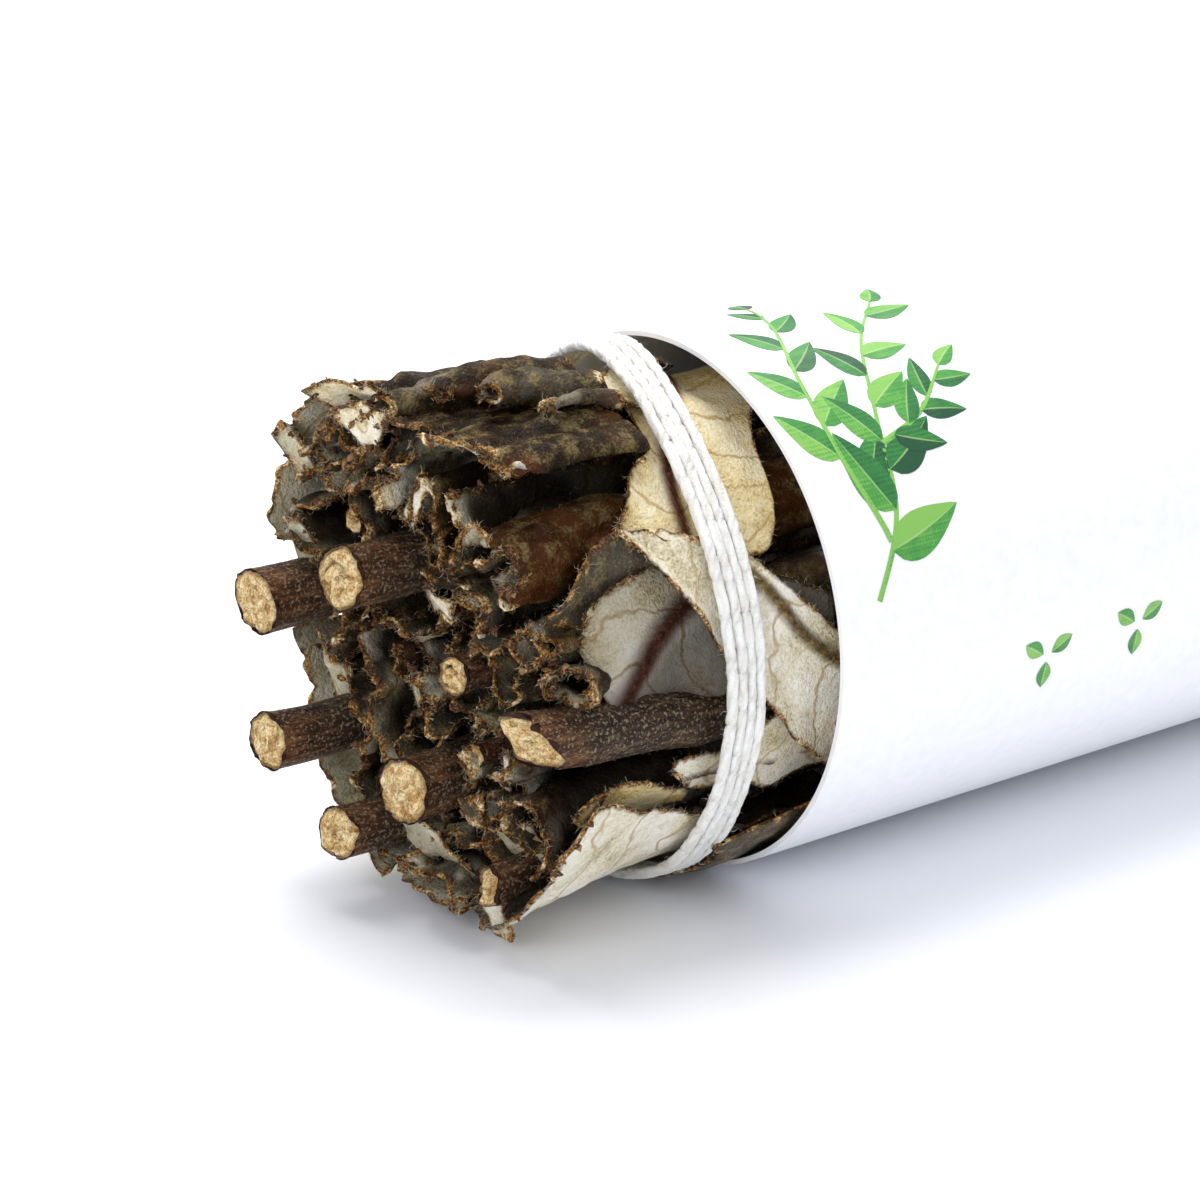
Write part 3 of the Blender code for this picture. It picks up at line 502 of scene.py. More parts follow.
def make_piece(name, points, faces, materials, values=None, uv=None, slots=None):
    """An object at the origin from points in millimetres and faces, one array for each size of face."""
    corners = np.concatenate([np.ravel(f) for f in faces])
    sizes = np.concatenate([np.full(len(f), np.shape(f)[1]) for f in faces])
    mesh = mesh_of(name, to_frame(points), corners, sizes)
    mesh.polygons.foreach_set("use_smooth", np.ones(len(sizes), bool))
    for material in materials:
        mesh.materials.append(material)
    if slots is not None:
        mesh.polygons.foreach_set("material_index", slots.astype(np.int32))
    mesh.update(calc_edges=True)
    set_values(mesh, values or {})
    if uv is not None:
        layer = mesh.uv_layers.new(name="leaf")
        layer.data.foreach_set("uv", uv[corners].astype(np.float32).ravel())
    return linked(name, mesh)


def mesh_of(name, places, corners, sizes):
    """A mesh from places in metres, the corners of its faces in one row, and each face's size."""
    mesh = bpy.data.meshes.new(name)
    mesh.vertices.add(len(places))
    mesh.vertices.foreach_set("co", places.astype(np.float32).ravel())
    mesh.loops.add(len(corners))
    mesh.loops.foreach_set("vertex_index", corners.astype(np.int32))
    mesh.polygons.add(len(sizes))
    mesh.polygons.foreach_set("loop_start", (np.cumsum(sizes) - sizes).astype(np.int32))
    return mesh


def set_values(mesh, values):
    """Store numbers for each point of a mesh under their names."""
    for key, numbers in values.items():
        mesh.attributes.new(key, "FLOAT", "POINT").data.foreach_set("value", numbers.astype(np.float32))


def read_numbers(items, key, kind=np.float32, each=1):
    """One property of all of a mesh's points, corners, faces or values, as an array."""
    numbers = np.zeros(len(items) * each, kind)
    items.foreach_get(key, numbers)
    return numbers


def linked(name, data):
    """A new object of some data, in the scene."""
    obj = bpy.data.objects.new(name, data)
    bpy.context.scene.collection.objects.link(obj)
    return obj


def grid_faces(rows, columns, offset=0, turned=False, closed=False):
    """The quads of a grid of points, row by row; closed joins the last column to the first."""
    i, j = np.meshgrid(np.arange(rows - 1), np.arange(columns if closed else columns - 1), indexing="ij")
    after = (j + 1) % columns
    quad = [i * columns + j, (i + 1) * columns + j, (i + 1) * columns + after, i * columns + after]
    if turned:
        quad.reverse()
    return np.stack([q.ravel() for q in quad], axis=1) + offset


def grid_normals(grid):
    """Unit normals of a grid of points, from its rows crossed with its columns."""
    along = np.gradient(grid, axis=0)
    across = np.gradient(grid, axis=1)
    normal = np.cross(along, across)
    return normal / np.maximum(np.linalg.norm(normal, axis=2, keepdims=True), 1e-9)


def blade(name, grid, thick, values, uv):
    """A leaf blade: the grid's two faces, thick apart, with a rim that closes them.

    A value is a pair for the one and the other face, or serves both.
    """
    shape = grid.shape[:2]
    half = grid_normals(grid) * (thick / 2)[..., None]
    points = np.vstack([(grid + half).reshape(-1, 3), (grid - half).reshape(-1, 3)])
    both = {}
    for key, level in values.items():
        pair = level if isinstance(level, tuple) else (level, level)
        both[key] = np.concatenate([np.broadcast_to(one, shape).ravel() for one in pair])
    flat = uv.reshape(-1, 2)
    return make_piece(name, points, [blade_faces(*shape)], [finish("leaf", leaf_finish)], both,
                      np.vstack([flat, flat]))


def blade_faces(rows, columns, offset=0):
    """The faces of a blade: two grids of points, one above the other, and the rim that closes them."""
    count = rows * columns
    top = np.arange(count).reshape(rows, columns) + offset
    low = top + count
    rim = []
    for edge, under, forwards in ((top[0], low[0], True), (top[-1], low[-1], False),
                                  (top[:, 0], low[:, 0], False), (top[:, -1], low[:, -1], True)):
        a, b, c, d = edge[:-1], edge[1:], under[1:], under[:-1]
        rim.append(np.stack([a, b, c, d] if forwards else [b, a, d, c], axis=1))
    return np.vstack([grid_faces(rows, columns, offset),
                      grid_faces(rows, columns, offset + count, turned=True)] + rim)


def stand_for(piece, node):
    """A finished piece takes a CAD node's place and rides with the bunch."""
    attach(piece, "root")
    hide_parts(node)
    return piece


# Finishes

def linear(colour):
    """An sRGB hex colour as linear red, green, blue and alpha."""
    parts = [int(colour[k:k + 2], 16) / 255 for k in (1, 3, 5)]
    return (*(p / 12.92 if p <= 0.04045 else ((p + 0.055) / 1.055) ** 2.4 for p in parts), 1.0)


def add(tree, kind, inputs=(), stops=(), out=0, **settings):
    """Add a node with its settings and return one of its outputs, by name or number.

    A kind without the word Node is a shader node. Inputs are values, hex colours or the outputs that
    feed them, in their order or by name. The stops of a colour ramp are its places and hex colours.
    """
    made = tree.nodes.new(kind if "Node" in kind else "ShaderNode" + kind)
    for key, value in settings.items():
        setattr(made, key, value)
    for key, value in inputs.items() if isinstance(inputs, dict) else enumerate(inputs):
        if isinstance(value, bpy.types.NodeSocket):
            tree.links.new(value, made.inputs[key])
        else:
            shade = isinstance(value, str) and value.startswith("#")
            made.inputs[key].default_value = linear(value) if shade else value
    for k, (place, colour) in enumerate(stops):
        element = made.color_ramp.elements[k] if k < 2 else made.color_ramp.elements.new(place)
        element.position = place
        element.color = linear(colour)
    return made.outputs[out] if made.outputs else None


# The settings and the output of a mix of two colours
COLOURS = {"out": "Result", "data_type": "RGBA"}


def per(size):
    """The scale of a texture whose lumps are size millimetres across, on Object coordinates."""
    return 1 / (size * MM)


def new_material(name):
    """An empty material with its node tree and output."""
    made = bpy.data.materials.new(name)
    made.use_nodes = True
    made.node_tree.nodes.clear()
    return made, made.node_tree


def leaf_finish():
    """Sun-dried leaf of Eriodictyon: leathery and resinous above, felted with pale wool below.

    The eye gets dull near-black brown with olive wool on the one face, warm cream felt with honey
    coloured veins on the other, and raw tan fibre where the blade is torn.
    """
    made, tree = new_material("dried_leaf_resin_and_felt")
    place = add(tree, "TexCoord", out="Object")
    felt, edge, tone, deep, rib = (add(tree, "Attribute", out="Fac", attribute_name=key)
                                   for key in ("felt", "edge", "tone", "deep", "rib"))
    uv = add(tree, "UVMap", uv_map="leaf")
    parts = add(tree, "SeparateXYZ", {"Vector": uv}).node.outputs

    broad = add(tree, "TexNoise", {"Vector": place, "Scale": per(4.5), "Detail": 3.0})
    patchy = add(tree, "TexNoise", {"Vector": place, "Scale": per(1.5), "Detail": 3.0})
    wool = add(tree, "TexNoise", {"Vector": place, "Scale": per(0.55), "Detail": 4.0, "Roughness": 0.7})
    fine = add(tree, "TexNoise", {"Vector": place, "Scale": per(0.22), "Detail": 2.0})

    # Side veins every few millimetres, swept forwards from the midrib, and a fine net between them
    away = add(tree, "Math", (parts["Y"],), operation="ABSOLUTE")
    wander = add(tree, "Math", (broad, 5.0, parts["X"]), operation="MULTIPLY_ADD")
    swept = add(tree, "Math", (away, -0.6, wander), operation="MULTIPLY_ADD")
    beside = add(tree, "Math", (swept, 2.6), operation="PINGPONG")
    side_vein = add(tree, "MapRange", (beside, 0.04, 0.3, 1.0, 0.0), interpolation_type="SMOOTHSTEP")
    cells = add(tree, "TexVoronoi", {"Vector": place, "Scale": per(1.5)}, feature="DISTANCE_TO_EDGE")
    net = add(tree, "MapRange", (cells, 0.0, 0.09, 1.0, 0.0))

    # The felted face: grey-green as painted shade where it stays shaded, cream, then straw yellow, all
    # finely speckled
    speckle = add(tree, "Math", (broad, 0.5), operation="MULTIPLY")
    speckle = add(tree, "Math", (fine, 0.25, speckle), operation="MULTIPLY_ADD")
    speckle = add(tree, "Math", (wool, 0.25, speckle), operation="MULTIPLY_ADD")
    shaded, pale, straw = (add(tree, "ValToRGB", (speckle,), stops=stops)
                           for stops in (SHADED_FELT, PALE_FELT, STRAW_FELT))
    felted = add(tree, "Mix", {"Factor": tone, "A": shaded, "B": pale}, **COLOURS)
    warm = add(tree, "Math", (tone, 1.0), operation="SUBTRACT", use_clamp=True)
    felted = add(tree, "Mix", {"Factor": warm, "A": felted, "B": straw}, **COLOURS)
    stain = add(tree, "MapRange", (patchy, 0.55, 0.75, 0.0, 0.5))
    stain = add(tree, "Math", (stain, broad), operation="MULTIPLY")
    faint = add(tree, "Math", (broad, 1.1), operation="MULTIPLY")
    veined = add(tree, "Math", (side_vein, faint), operation="MULTIPLY")
    netted = add(tree, "Math", (net, 0.1), operation="MULTIPLY")
    for share, colour in ((stain, "#b08a38"), (veined, "#b08a3c"), (netted, "#a98f5c")):
        felted = add(tree, "Mix", {"Factor": share, "A": felted, "B": colour}, **COLOURS)

    # The resinous face: amber where it is thin, partly its own colour and partly painted light shining
    # through, with olive wool left on what stands proud
    leather = add(tree, "ValToRGB", (patchy,), stops=LEATHER)
    thin = add(tree, "Math", (tone, 0.35, broad), operation="MULTIPLY_ADD")
    amber_and_backlight = add(tree, "MapRange", (thin, 0.78, 0.94, 0.0, 0.5))
    tuft = add(tree, "Math", (fine, 0.8, patchy), operation="MULTIPLY_ADD")
    tuft = add(tree, "MapRange", (tuft, 0.92, 1.15, 0.0, 0.65))
    for share, colour in ((amber_and_backlight, "#6b3a15"), (tuft, "#827c50")):
        leather = add(tree, "Mix", {"Factor": share, "A": leather, "B": colour}, **COLOURS)

    body = add(tree, "Mix", {"Factor": felt, "A": leather, "B": felted}, **COLOURS)
    olive_rib, red_rib = (add(tree, "ValToRGB", (wool,), stops=stops) for stops in (OLIVE_RIB, RED_RIB))
    redder = add(tree, "MapRange", (tone, 1.02, 1.16))
    ribbed = add(tree, "Mix", {"Factor": redder, "A": olive_rib, "B": red_rib}, **COLOURS)
    body = add(tree, "Mix", {"Factor": rib, "A": body, "B": ribbed}, **COLOURS)

    # The torn rim: brown, in places raw pale fibre, in places as the face
    reach = add(tree, "Math", (patchy, -1.5, edge), operation="MULTIPLY_ADD")
    reach = add(tree, "Math", (wool, -0.9, reach), operation="MULTIPLY_ADD")
    torn = add(tree, "MapRange", (reach, -0.95, -0.55, 1.0, 0.0))
    raw_tone = add(tree, "Math", (patchy, 0.6), operation="MULTIPLY")
    raw_tone = add(tree, "Math", (fine, 0.4, raw_tone), operation="MULTIPLY_ADD")
    raw = add(tree, "ValToRGB", (raw_tone,), stops=TORN_FIBRE)
    body = add(tree, "Mix", {"Factor": torn, "A": body, "B": raw}, **COLOURS)

    # Painted shade: the colour darkens where shade falls, back between the folds and on the inner faces
    dark = add(tree, "Math", (deep, 0.88), operation="MULTIPLY")
    body = add(tree, "Mix", {"Factor": dark, "A": body, "B": "#130d08"}, **COLOURS)

    # Heights in millimetres
    woolly = add(tree, "Math", (fine, 0.2), operation="MULTIPLY")
    woolly = add(tree, "Math", (wool, 0.3, woolly), operation="MULTIPLY_ADD")
    height = add(tree, "Math", (side_vein, 0.06, woolly), operation="MULTIPLY_ADD")
    height = add(tree, "Math", (net, -0.03, height), operation="MULTIPLY_ADD")
    bump = add(tree, "Bump", {"Height": height, "Distance": MM, "Strength": 0.9})

    matt = add(tree, "MapRange", (felt, 0.0, 1.0, 0.6, 0.97))
    gloss = add(tree, "Math", (fine, 0.6, -0.15), operation="MULTIPLY_ADD")
    rough = add(tree, "Math", (matt, gloss), operation="SUBTRACT", use_clamp=True)
    shader = add(tree, "BsdfPrincipled", {"Base Color": body, "Roughness": rough, "Normal": bump,
                                          "Specular IOR Level": 0.1})
    add(tree, "OutputMaterial", {"Surface": shader})
    return made


def bark_finish():
    """Thin bark of a shrub's shoot, dried on the wood: ridged, dark brown, redder by the cut."""
    made, tree = new_material("dried_shoot_bark")
    place = add(tree, "TexCoord", out="Object")
    cut = add(tree, "Attribute", out="Fac", attribute_name="cut")
    long = add(tree, "Mapping", {"Vector": place, "Scale": (0.16, 1.0, 1.0)})
    ridge = add(tree, "TexNoise", {"Vector": long, "Scale": per(0.5), "Detail": 4.0, "Roughness": 0.65})
    wool = add(tree, "TexNoise", {"Vector": long, "Scale": per(0.24), "Detail": 3.0})
    patch = add(tree, "TexNoise", {"Vector": place, "Scale": per(2.4), "Detail": 2.0})
    brown, red = (add(tree, "ValToRGB", (ridge,), stops=stops) for stops in (BROWN_BARK, RED_BARK))
    near = add(tree, "Math", (patch, -9.0, cut), operation="MULTIPLY_ADD")
    near = add(tree, "MapRange", (near, -4.5, 0.5, 0.75, 0.0))
    body = add(tree, "Mix", {"Factor": near, "A": brown, "B": red}, **COLOURS)
    down = add(tree, "TexNoise", {"Vector": place, "Scale": per(0.26), "Detail": 3.0})
    hair = add(tree, "MapRange", (down, 0.54, 0.66))
    hair = add(tree, "Math", (hair, 0.65), operation="MULTIPLY")
    body = add(tree, "Mix", {"Factor": hair, "A": body, "B": "#9a9078"}, **COLOURS)
    height = add(tree, "Math", (ridge, 0.22), operation="MULTIPLY")
    height = add(tree, "Math", (wool, 0.1, height), operation="MULTIPLY_ADD")
    bump = add(tree, "Bump", {"Height": height, "Distance": MM, "Strength": 0.9})
    shader = add(tree, "BsdfPrincipled", {"Base Color": body, "Roughness": 0.6, "Normal": bump,
                                          "Specular IOR Level": 0.2})
    add(tree, "OutputMaterial", {"Surface": shader})
    return made


def wood_finish():
    """Dry pale wood cut across with shears: torn fibre ends, cracks, growth rings, soft pith."""
    made, tree = new_material("cut_shoot_wood")
    place = add(tree, "TexCoord", out="Object")
    out = add(tree, "Attribute", out="Fac", attribute_name="out")
    sunk = add(tree, "Attribute", out="Fac", attribute_name="sunk")
    grain = add(tree, "TexNoise", {"Vector": place, "Scale": per(1.1), "Detail": 5.0, "Roughness": 0.75,
                                   "Distortion": 1.2})
    fibre = add(tree, "TexNoise", {"Vector": place, "Scale": per(0.2), "Detail": 3.0})
    wave = add(tree, "Math", (grain, 0.5, out), operation="MULTIPLY_ADD")
    wave = add(tree, "Math", (wave, 24.0), operation="MULTIPLY")
    wave = add(tree, "Math", (wave,), operation="SINE")
    swirl = add(tree, "TexNoise", {"Vector": place, "Scale": per(1.2)}, out="Color")
    torn = add(tree, "VectorMath", (swirl, (0.0025,) * 3, place), operation="MULTIPLY_ADD")
    cells = add(tree, "TexVoronoi", {"Vector": torn, "Scale": per(2.1)}, feature="DISTANCE_TO_EDGE")
    rim = add(tree, "Math", (grain, 0.22, out), operation="MULTIPLY_ADD")

    # Pores, growth rings, cracks, painted shade where the cut is sunk in (the gap under the bark, the pith,
    # its grooves and cracks), and brown rim: the value that shows each, its two ends, how much shows at
    # them, and the colour
    body = add(tree, "ValToRGB", (grain,), stops=PALE_WOOD)
    shown = []
    for value, start, end, at_start, at_end, colour in (
            (fibre, 0.36, 0.46, 0.55, 0.0, "#7a5432"), (wave, 0.4, 1.0, 0.0, 0.3, "#9a7044"),
            (cells, 0.0, 0.03, 0.4, 0.0, "#4d3019"), (sunk, 0.1, 0.6, 0.0, 0.85, "#38200f"),
            (rim, 0.99, 1.06, 0.0, 1.0, "#3b2216")):
        shown.append(add(tree, "MapRange", (value, start, end, at_start, at_end)))
        body = add(tree, "Mix", {"Factor": shown[-1], "A": body, "B": colour}, **COLOURS)
    split = shown[2]
    height = add(tree, "Math", (grain, 0.25), operation="MULTIPLY")
    height = add(tree, "Math", (fibre, 0.22, height), operation="MULTIPLY_ADD")
    height = add(tree, "Math", (split, -0.1, height), operation="MULTIPLY_ADD")
    bump = add(tree, "Bump", {"Height": height, "Distance": MM, "Strength": 1.0})
    shader = add(tree, "BsdfPrincipled", {"Base Color": body, "Roughness": 0.85, "Normal": bump,
                                          "Specular IOR Level": 0.25})
    add(tree, "OutputMaterial", {"Surface": shader})
    return made


def cotton_finish():
    """Bleached cotton twine, loosely laid: soft, matt and fuzzy, with painted shade in the grooves between
    the plies.
    """
    made, tree = new_material("bleached_cotton_twine")
    place = add(tree, "TexCoord", out="Object")
    fibre = add(tree, "TexNoise", {"Vector": place, "Scale": per(0.2), "Detail": 4.0})
    broad = add(tree, "TexNoise", {"Vector": place, "Scale": per(1.6), "Detail": 2.0})
    groove = add(tree, "Attribute", out="Fac", attribute_name="groove")
    # Painted shade: ivory-grey where the plies meet
    groove_shade = add(tree, "Math", (groove, 0.25), operation="MULTIPLY")
    body = add(tree, "ValToRGB", (broad,), stops=BLEACHED_COTTON)
    body = add(tree, "Mix", {"Factor": groove_shade, "A": body, "B": "#cfc6ac"}, **COLOURS)
    height = add(tree, "Math", (fibre, 0.22), operation="MULTIPLY")
    bump = add(tree, "Bump", {"Height": height, "Distance": MM, "Strength": 0.8})
    shader = add(tree, "BsdfPrincipled", {"Base Color": body, "Roughness": 0.95, "Normal": bump,
                                          "Specular IOR Level": 0.2, "Sheen Weight": 0.3,
                                          "Sheen Roughness": 0.5})
    add(tree, "OutputMaterial", {"Surface": shader})
    return made


def fibre_finish(name, colour):
    """Loose fibres and plant hairs: single matt strands of one colour, a little varied."""
    made, tree = new_material(name)
    place = add(tree, "TexCoord", out="Object")
    vary = add(tree, "TexNoise", {"Vector": place, "Scale": per(1.2)})
    level = add(tree, "MapRange", (vary, 0.0, 1.0, 0.7, 1.25))
    body = add(tree, "HueSaturation", {"Color": linear(colour), "Value": level})
    shader = add(tree, "BsdfPrincipled", {"Base Color": body, "Roughness": 0.8,
                                          "Specular IOR Level": 0.3})
    add(tree, "OutputMaterial", {"Surface": shader})
    return made


def paper_finish():
    """White coated card rolled into a tube: smooth, faintly satin, with a soft fibre mottle."""
    made, tree = new_material("coated_white_card")
    place = add(tree, "TexCoord", out="Object")
    mottle = add(tree, "TexNoise", {"Vector": place, "Scale": per(1.1), "Detail": 4.0})
    body = add(tree, "ValToRGB", (mottle,), stops=WHITE_CARD)
    height = add(tree, "Math", (mottle, 0.02), operation="MULTIPLY")
    bump = add(tree, "Bump", {"Height": height, "Distance": MM, "Strength": 0.5})
    shader = add(tree, "BsdfPrincipled", {"Base Color": body, "Roughness": 0.42, "Normal": bump,
                                          "Specular IOR Level": 0.45})
    add(tree, "OutputMaterial", {"Surface": shader})
    return made


def ink_finish():
    """Offset ink on card: flat greens in a fine screen of dots, darker along one half of each leaf."""
    made, tree = new_material("printed_green_ink")
    uv = add(tree, "UVMap", uv_map="leaf")
    shade = add(tree, "Attribute", out="Fac", attribute_name="shade")
    place = add(tree, "TexCoord", out="Object")
    # A real screen is finer than the picture shows, so its dots are 0.28 mm apart
    dots = add(tree, "TexVoronoi", {"Vector": place, "Scale": per(0.28), "Randomness": 0.2}, feature="F1")
    mottle = add(tree, "TexNoise", {"Vector": place, "Scale": per(2.0)})
    across = add(tree, "SeparateXYZ", {"Vector": uv}, out="Y")
    half = add(tree, "MapRange", (across, -0.05, 0.05, -0.12, 0.16))
    away = add(tree, "Math", (across,), operation="ABSOLUTE")
    vein = add(tree, "MapRange", (away, 0.04, 0.12, 0.5, 0.0))
    level = add(tree, "Math", (dots, 0.3, shade), operation="MULTIPLY_ADD")
    level = add(tree, "Math", (mottle, 0.4, level), operation="MULTIPLY_ADD")
    level = add(tree, "Math", (level, half), operation="ADD")
    body = add(tree, "ValToRGB", (level,), stops=GREEN_INK)
    body = add(tree, "Mix", {"Factor": vein, "A": body, "B": "#b9d890"}, **COLOURS)
    shader = add(tree, "BsdfPrincipled", {"Base Color": body, "Roughness": 0.4})
    add(tree, "OutputMaterial", {"Surface": shader})
    return made


def floor_finish(colour):
    """Matt white studio paper."""
    made, tree = new_material("studio_paper")
    shader = add(tree, "BsdfPrincipled", {"Base Color": (*colour, 1.0), "Roughness": 0.9,
                                          "Specular IOR Level": 0.1})
    add(tree, "OutputMaterial", {"Surface": shader})
    return made


FINISHES = {}


def finish(name, make, *details):
    """A finish made once and then shared."""
    if name not in FINISHES:
        FINISHES[name] = make(*details)
    return FINISHES[name]


# Leaves

def roll(u, w, radius, start, turned):
    """The fold of a leaf rolled on itself: a spiral that tightens as it turns."""
    turns = np.radians(start + np.linspace(0, turned, 12))
    reach = radius * np.linspace(1.0, 0.45, 12)
    return [(u + r * math.cos(turn), w + r * math.sin(turn)) for turn, r in zip(turns, reach)]


def folded_leaf(name, felt_one, felt_other, cut_x, end_x, fold, looks, small=None):
    """A leaf cut across between the stems: its fold, crumpled, with a torn and curled front edge.

    A small one has no CAD node of its own; small is how open its mouth is and how far it leans up.
    """
    seed = seed_of(name)
    columns = round(curve_through(fold, 2)[1] / looks.fold_step)
    line, length = curve_through(fold, columns)
    run = np.linspace(0, length, columns)
    front = rumple(beside(run, seed), (1.3, 3.4, seed), (0.8, 1.1, seed), (0.5, 0.45, seed),
                   start=cut_x + FOLD_SLANTS.get(name, 0.0) * (run / length - 0.5))
    long = end_x > TAPER_X
    tail = np.full(columns, float(end_x))
    if long:
        tail -= min(TIP_LENGTH, 0.75 * (end_x - TAPER_X)) * np.abs(2 * run / length - 1) ** 1.5
    stations = steps(0, end_x - cut_x, looks.fine_step, 1.035, 4.0)
    x = front + (tail - front) * (stations / stations[-1])[:, None]
    gone = x - front
    grid = bunch_points(x, line[:, 0], line[:, 1])
    if small:
        # A small one tapers towards its front end, is pressed flat and bends as it goes
        mouth, lean = small
        middle = grid.mean(axis=1, keepdims=True)
        full = mouth + (1 - mouth) * ease(0, 6.5, gone)
        grid[..., 1:] = middle[..., 1:] + (grid - middle)[..., 1:] * full[..., None] * SMALL_PRESSED
        bend = [noise(x[..., None] * np.array([1, 0, 0]), 6.0, seed + k) for k in (40, 41)]
        grid[..., 1:] += 0.7 * np.stack(bend, axis=-1)
        grid[..., 1] += lean * gone

    # Crumpled most at the loose front end, and hardly where the string holds it
    outer = 1.0 if name in OUTER_FOLDS else 0.0
    loose = np.exp(-gone / 3.0)
    tied = np.exp(-((x - band_middle(angle_of(grid))) / 4) ** 2)
    held = 1 - 0.8 * tied - 0.4 * ease(BAND_X, BAND_X + 4, x)
    crumple = rumple(grid, (looks.crumple * (0.35 + 1.1 * loose), 2.6, seed),
                     (looks.crumple * (0.15 + 0.75 * loose), 1.0, seed + 1), (0.06, 0.5, seed + 2),
                     (0.3 * np.exp(-gone / 0.9), 0.55, seed + 7))
    for height, size, shift in ((0.9, 2.0, 8), (0.45, 0.9, 9)):
        crease = 0.5 - np.abs(noise(grid * CREASE_STRETCH, size, seed + shift))
        crumple = crumple + outer * height * crease
    grid = grid + grid_normals(grid) * (crumple * held)[..., None]

    # What its finish reads: mm to the nearest edge, felt in patches, tone, and painted shade that grows back
    # between the folds
    edge = np.minimum(gone, np.minimum(run, length - run))
    edge = np.minimum(edge, np.maximum(tail - x, 0))
    thick = looks.thickness * (0.75 + 0.25 * ease(0.0, 0.5, edge)) * (1 + 0.35 * noise(grid, 1.0, seed + 3))
    middle = run - length * (0.35 + 0.3 * random.Random(name).random())
    uv = np.stack([x + seed, np.broadcast_to(middle, x.shape)], axis=-1)
    rib = np.exp(-(uv[..., 1] / 0.4) ** 2) * (0.7 if long else 0.0)
    patch = 0.12 + 0.88 * ease(-0.05, 0.3, noise(grid, 3.2, seed + 6))
    tone = 0.65 + 0.5 * noise(grid, 4.0, seed + 4) + (0.6 if name in AMBER_FOLDS else 0.0)
    deep = ease(0.3, 3.2, gone + 1.5 * noise(grid, 2.2, seed + 5)) * (1 - 0.85 * ease(-6, -1, x))
    piece = blade(name, grid, thick, {"felt": (felt_one * patch, felt_other * patch), "edge": edge,
                                      "tone": tone, "rib": rib, "deep": deep * (1 - 0.85 * outer)}, uv)
    if not small:
        return stand_for(piece, name)
    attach(piece, "root")
    return piece


def wrapped_leaf(name, felt_out, felt_in, lifts, slopes, tone, midrib, half_rib, layer, stations, looks):
    """A leaf that lies round the outside of the bunch, with a waved and rolled margin."""
    seed = seed_of(name)
    knots = np.array(stations, float)
    x_rows = steps(knots[0, 0], knots[-1, 0], looks.fine_step, 1.012, 2.0)

    # Its lower and upper edge, rounded off and waved
    dense = np.linspace(knots[0, 0], knots[-1, 0], EDGE_SAMPLES)
    soft = max(3, round(EDGE_SAMPLES * EDGE_ROUNDING / (knots[-1, 0] - knots[0, 0])) | 1)
    width = math.radians(1) * layer
    edges = []
    for column in (1, 2):
        padded = np.pad(np.interp(dense, knots[:, 0], knots[:, column]), soft // 2, mode="edge")
        edges.append(np.interp(x_rows, dense, np.convolve(padded, np.ones(soft) / soft, mode="valid")))
    room = np.clip((edges[1] - edges[0]) / 12, 0.1, 1)
    margin = beside(x_rows, seed)
    low, high = (edge + rumple(margin, (0.3, 2.3, shift), (0.16, 0.8, shift)) / width * room
                 for edge, shift in zip(edges, (seed, seed + 5)))

    columns = max(6, round(math.radians(float(np.max(high - low))) * layer / looks.wrap_step))
    share = np.linspace(0, 1, columns)
    angle = low[:, None] + (high - low)[:, None] * share
    # The front edge is ragged, and the margins curl up where the string leaves them free
    ragged = rumple(beside(share * np.max(high - low) * width, seed), (0.9, 2.4, seed), (0.5, 0.7, seed))
    front = (x_rows - x_rows[0])[:, None]
    x = x_rows[:, None] + ragged * np.exp(-front / 1.5) * room[0]
    from_low = np.maximum((angle - low[:, None]) * width, 0)
    from_high = np.maximum((high[:, None] - angle) * width, 0)
    edge = np.minimum(np.minimum(from_low, from_high), front)
    free = 1 - 0.9 * np.exp(-((x - band_middle(angle)) / 3.2) ** 2)
    loose = free * (1 - ease(-1.0, 4.0, x))
    rise = (lifts[0] * np.exp(-(np.minimum(from_low, front) / 1.5) ** 1.4)
            + lifts[1] * np.exp(-(from_high / 1.2) ** 1.4)) * loose
    rise = rise + (slopes[0] * (1 - share) + slopes[1] * share) * (1 - ease(-11, -6, x))
    place = ring_points(x, layer, angle)
    rise = rise + rumple(place, (0.3, 5.0, seed), (0.14, 1.9, seed + 1),
                         (0.05, 0.8, seed + 2)) * (0.25 + 0.75 * free)
    across, along, rib = np.full(x.shape, NO_MIDRIB), x, 0.0
    if midrib:
        across, along = from_midrib(x, angle, midrib, width)
        across = across + 0.2 * noise(along[..., None] * np.array([1, 0, 0]), 4.0, seed)
        rib = np.exp(-np.abs(across / half_rib) ** 3)
        rise = rise + 0.35 * rib * (felt_out > 0.5)
    grid = ring_points(x, layer + rise, angle)
    thick = looks.thickness * (0.6 + 0.4 * ease(0.0, 0.5, edge))
    # Painted shade: a shaded leaf darker all over and more so on one side of its midrib, and each inner face
    # darker towards the back
    shade = 0.55 + 0.39 * ease(0.2, 2.6, across) if name in SHADED_LEAVES else 0.0
    values = {"felt": (felt_out, felt_in), "edge": edge + 0.15, "rib": (rib, 0.0),
              "tone": tone + 0.12 * noise(grid, 6.0, seed + 4), "deep": (shade, 0.4 * ease(-22, -12, x))}
    piece = blade(name, grid, thick, values, np.stack([along + seed, across], axis=-1))
    return stand_for(piece, name)


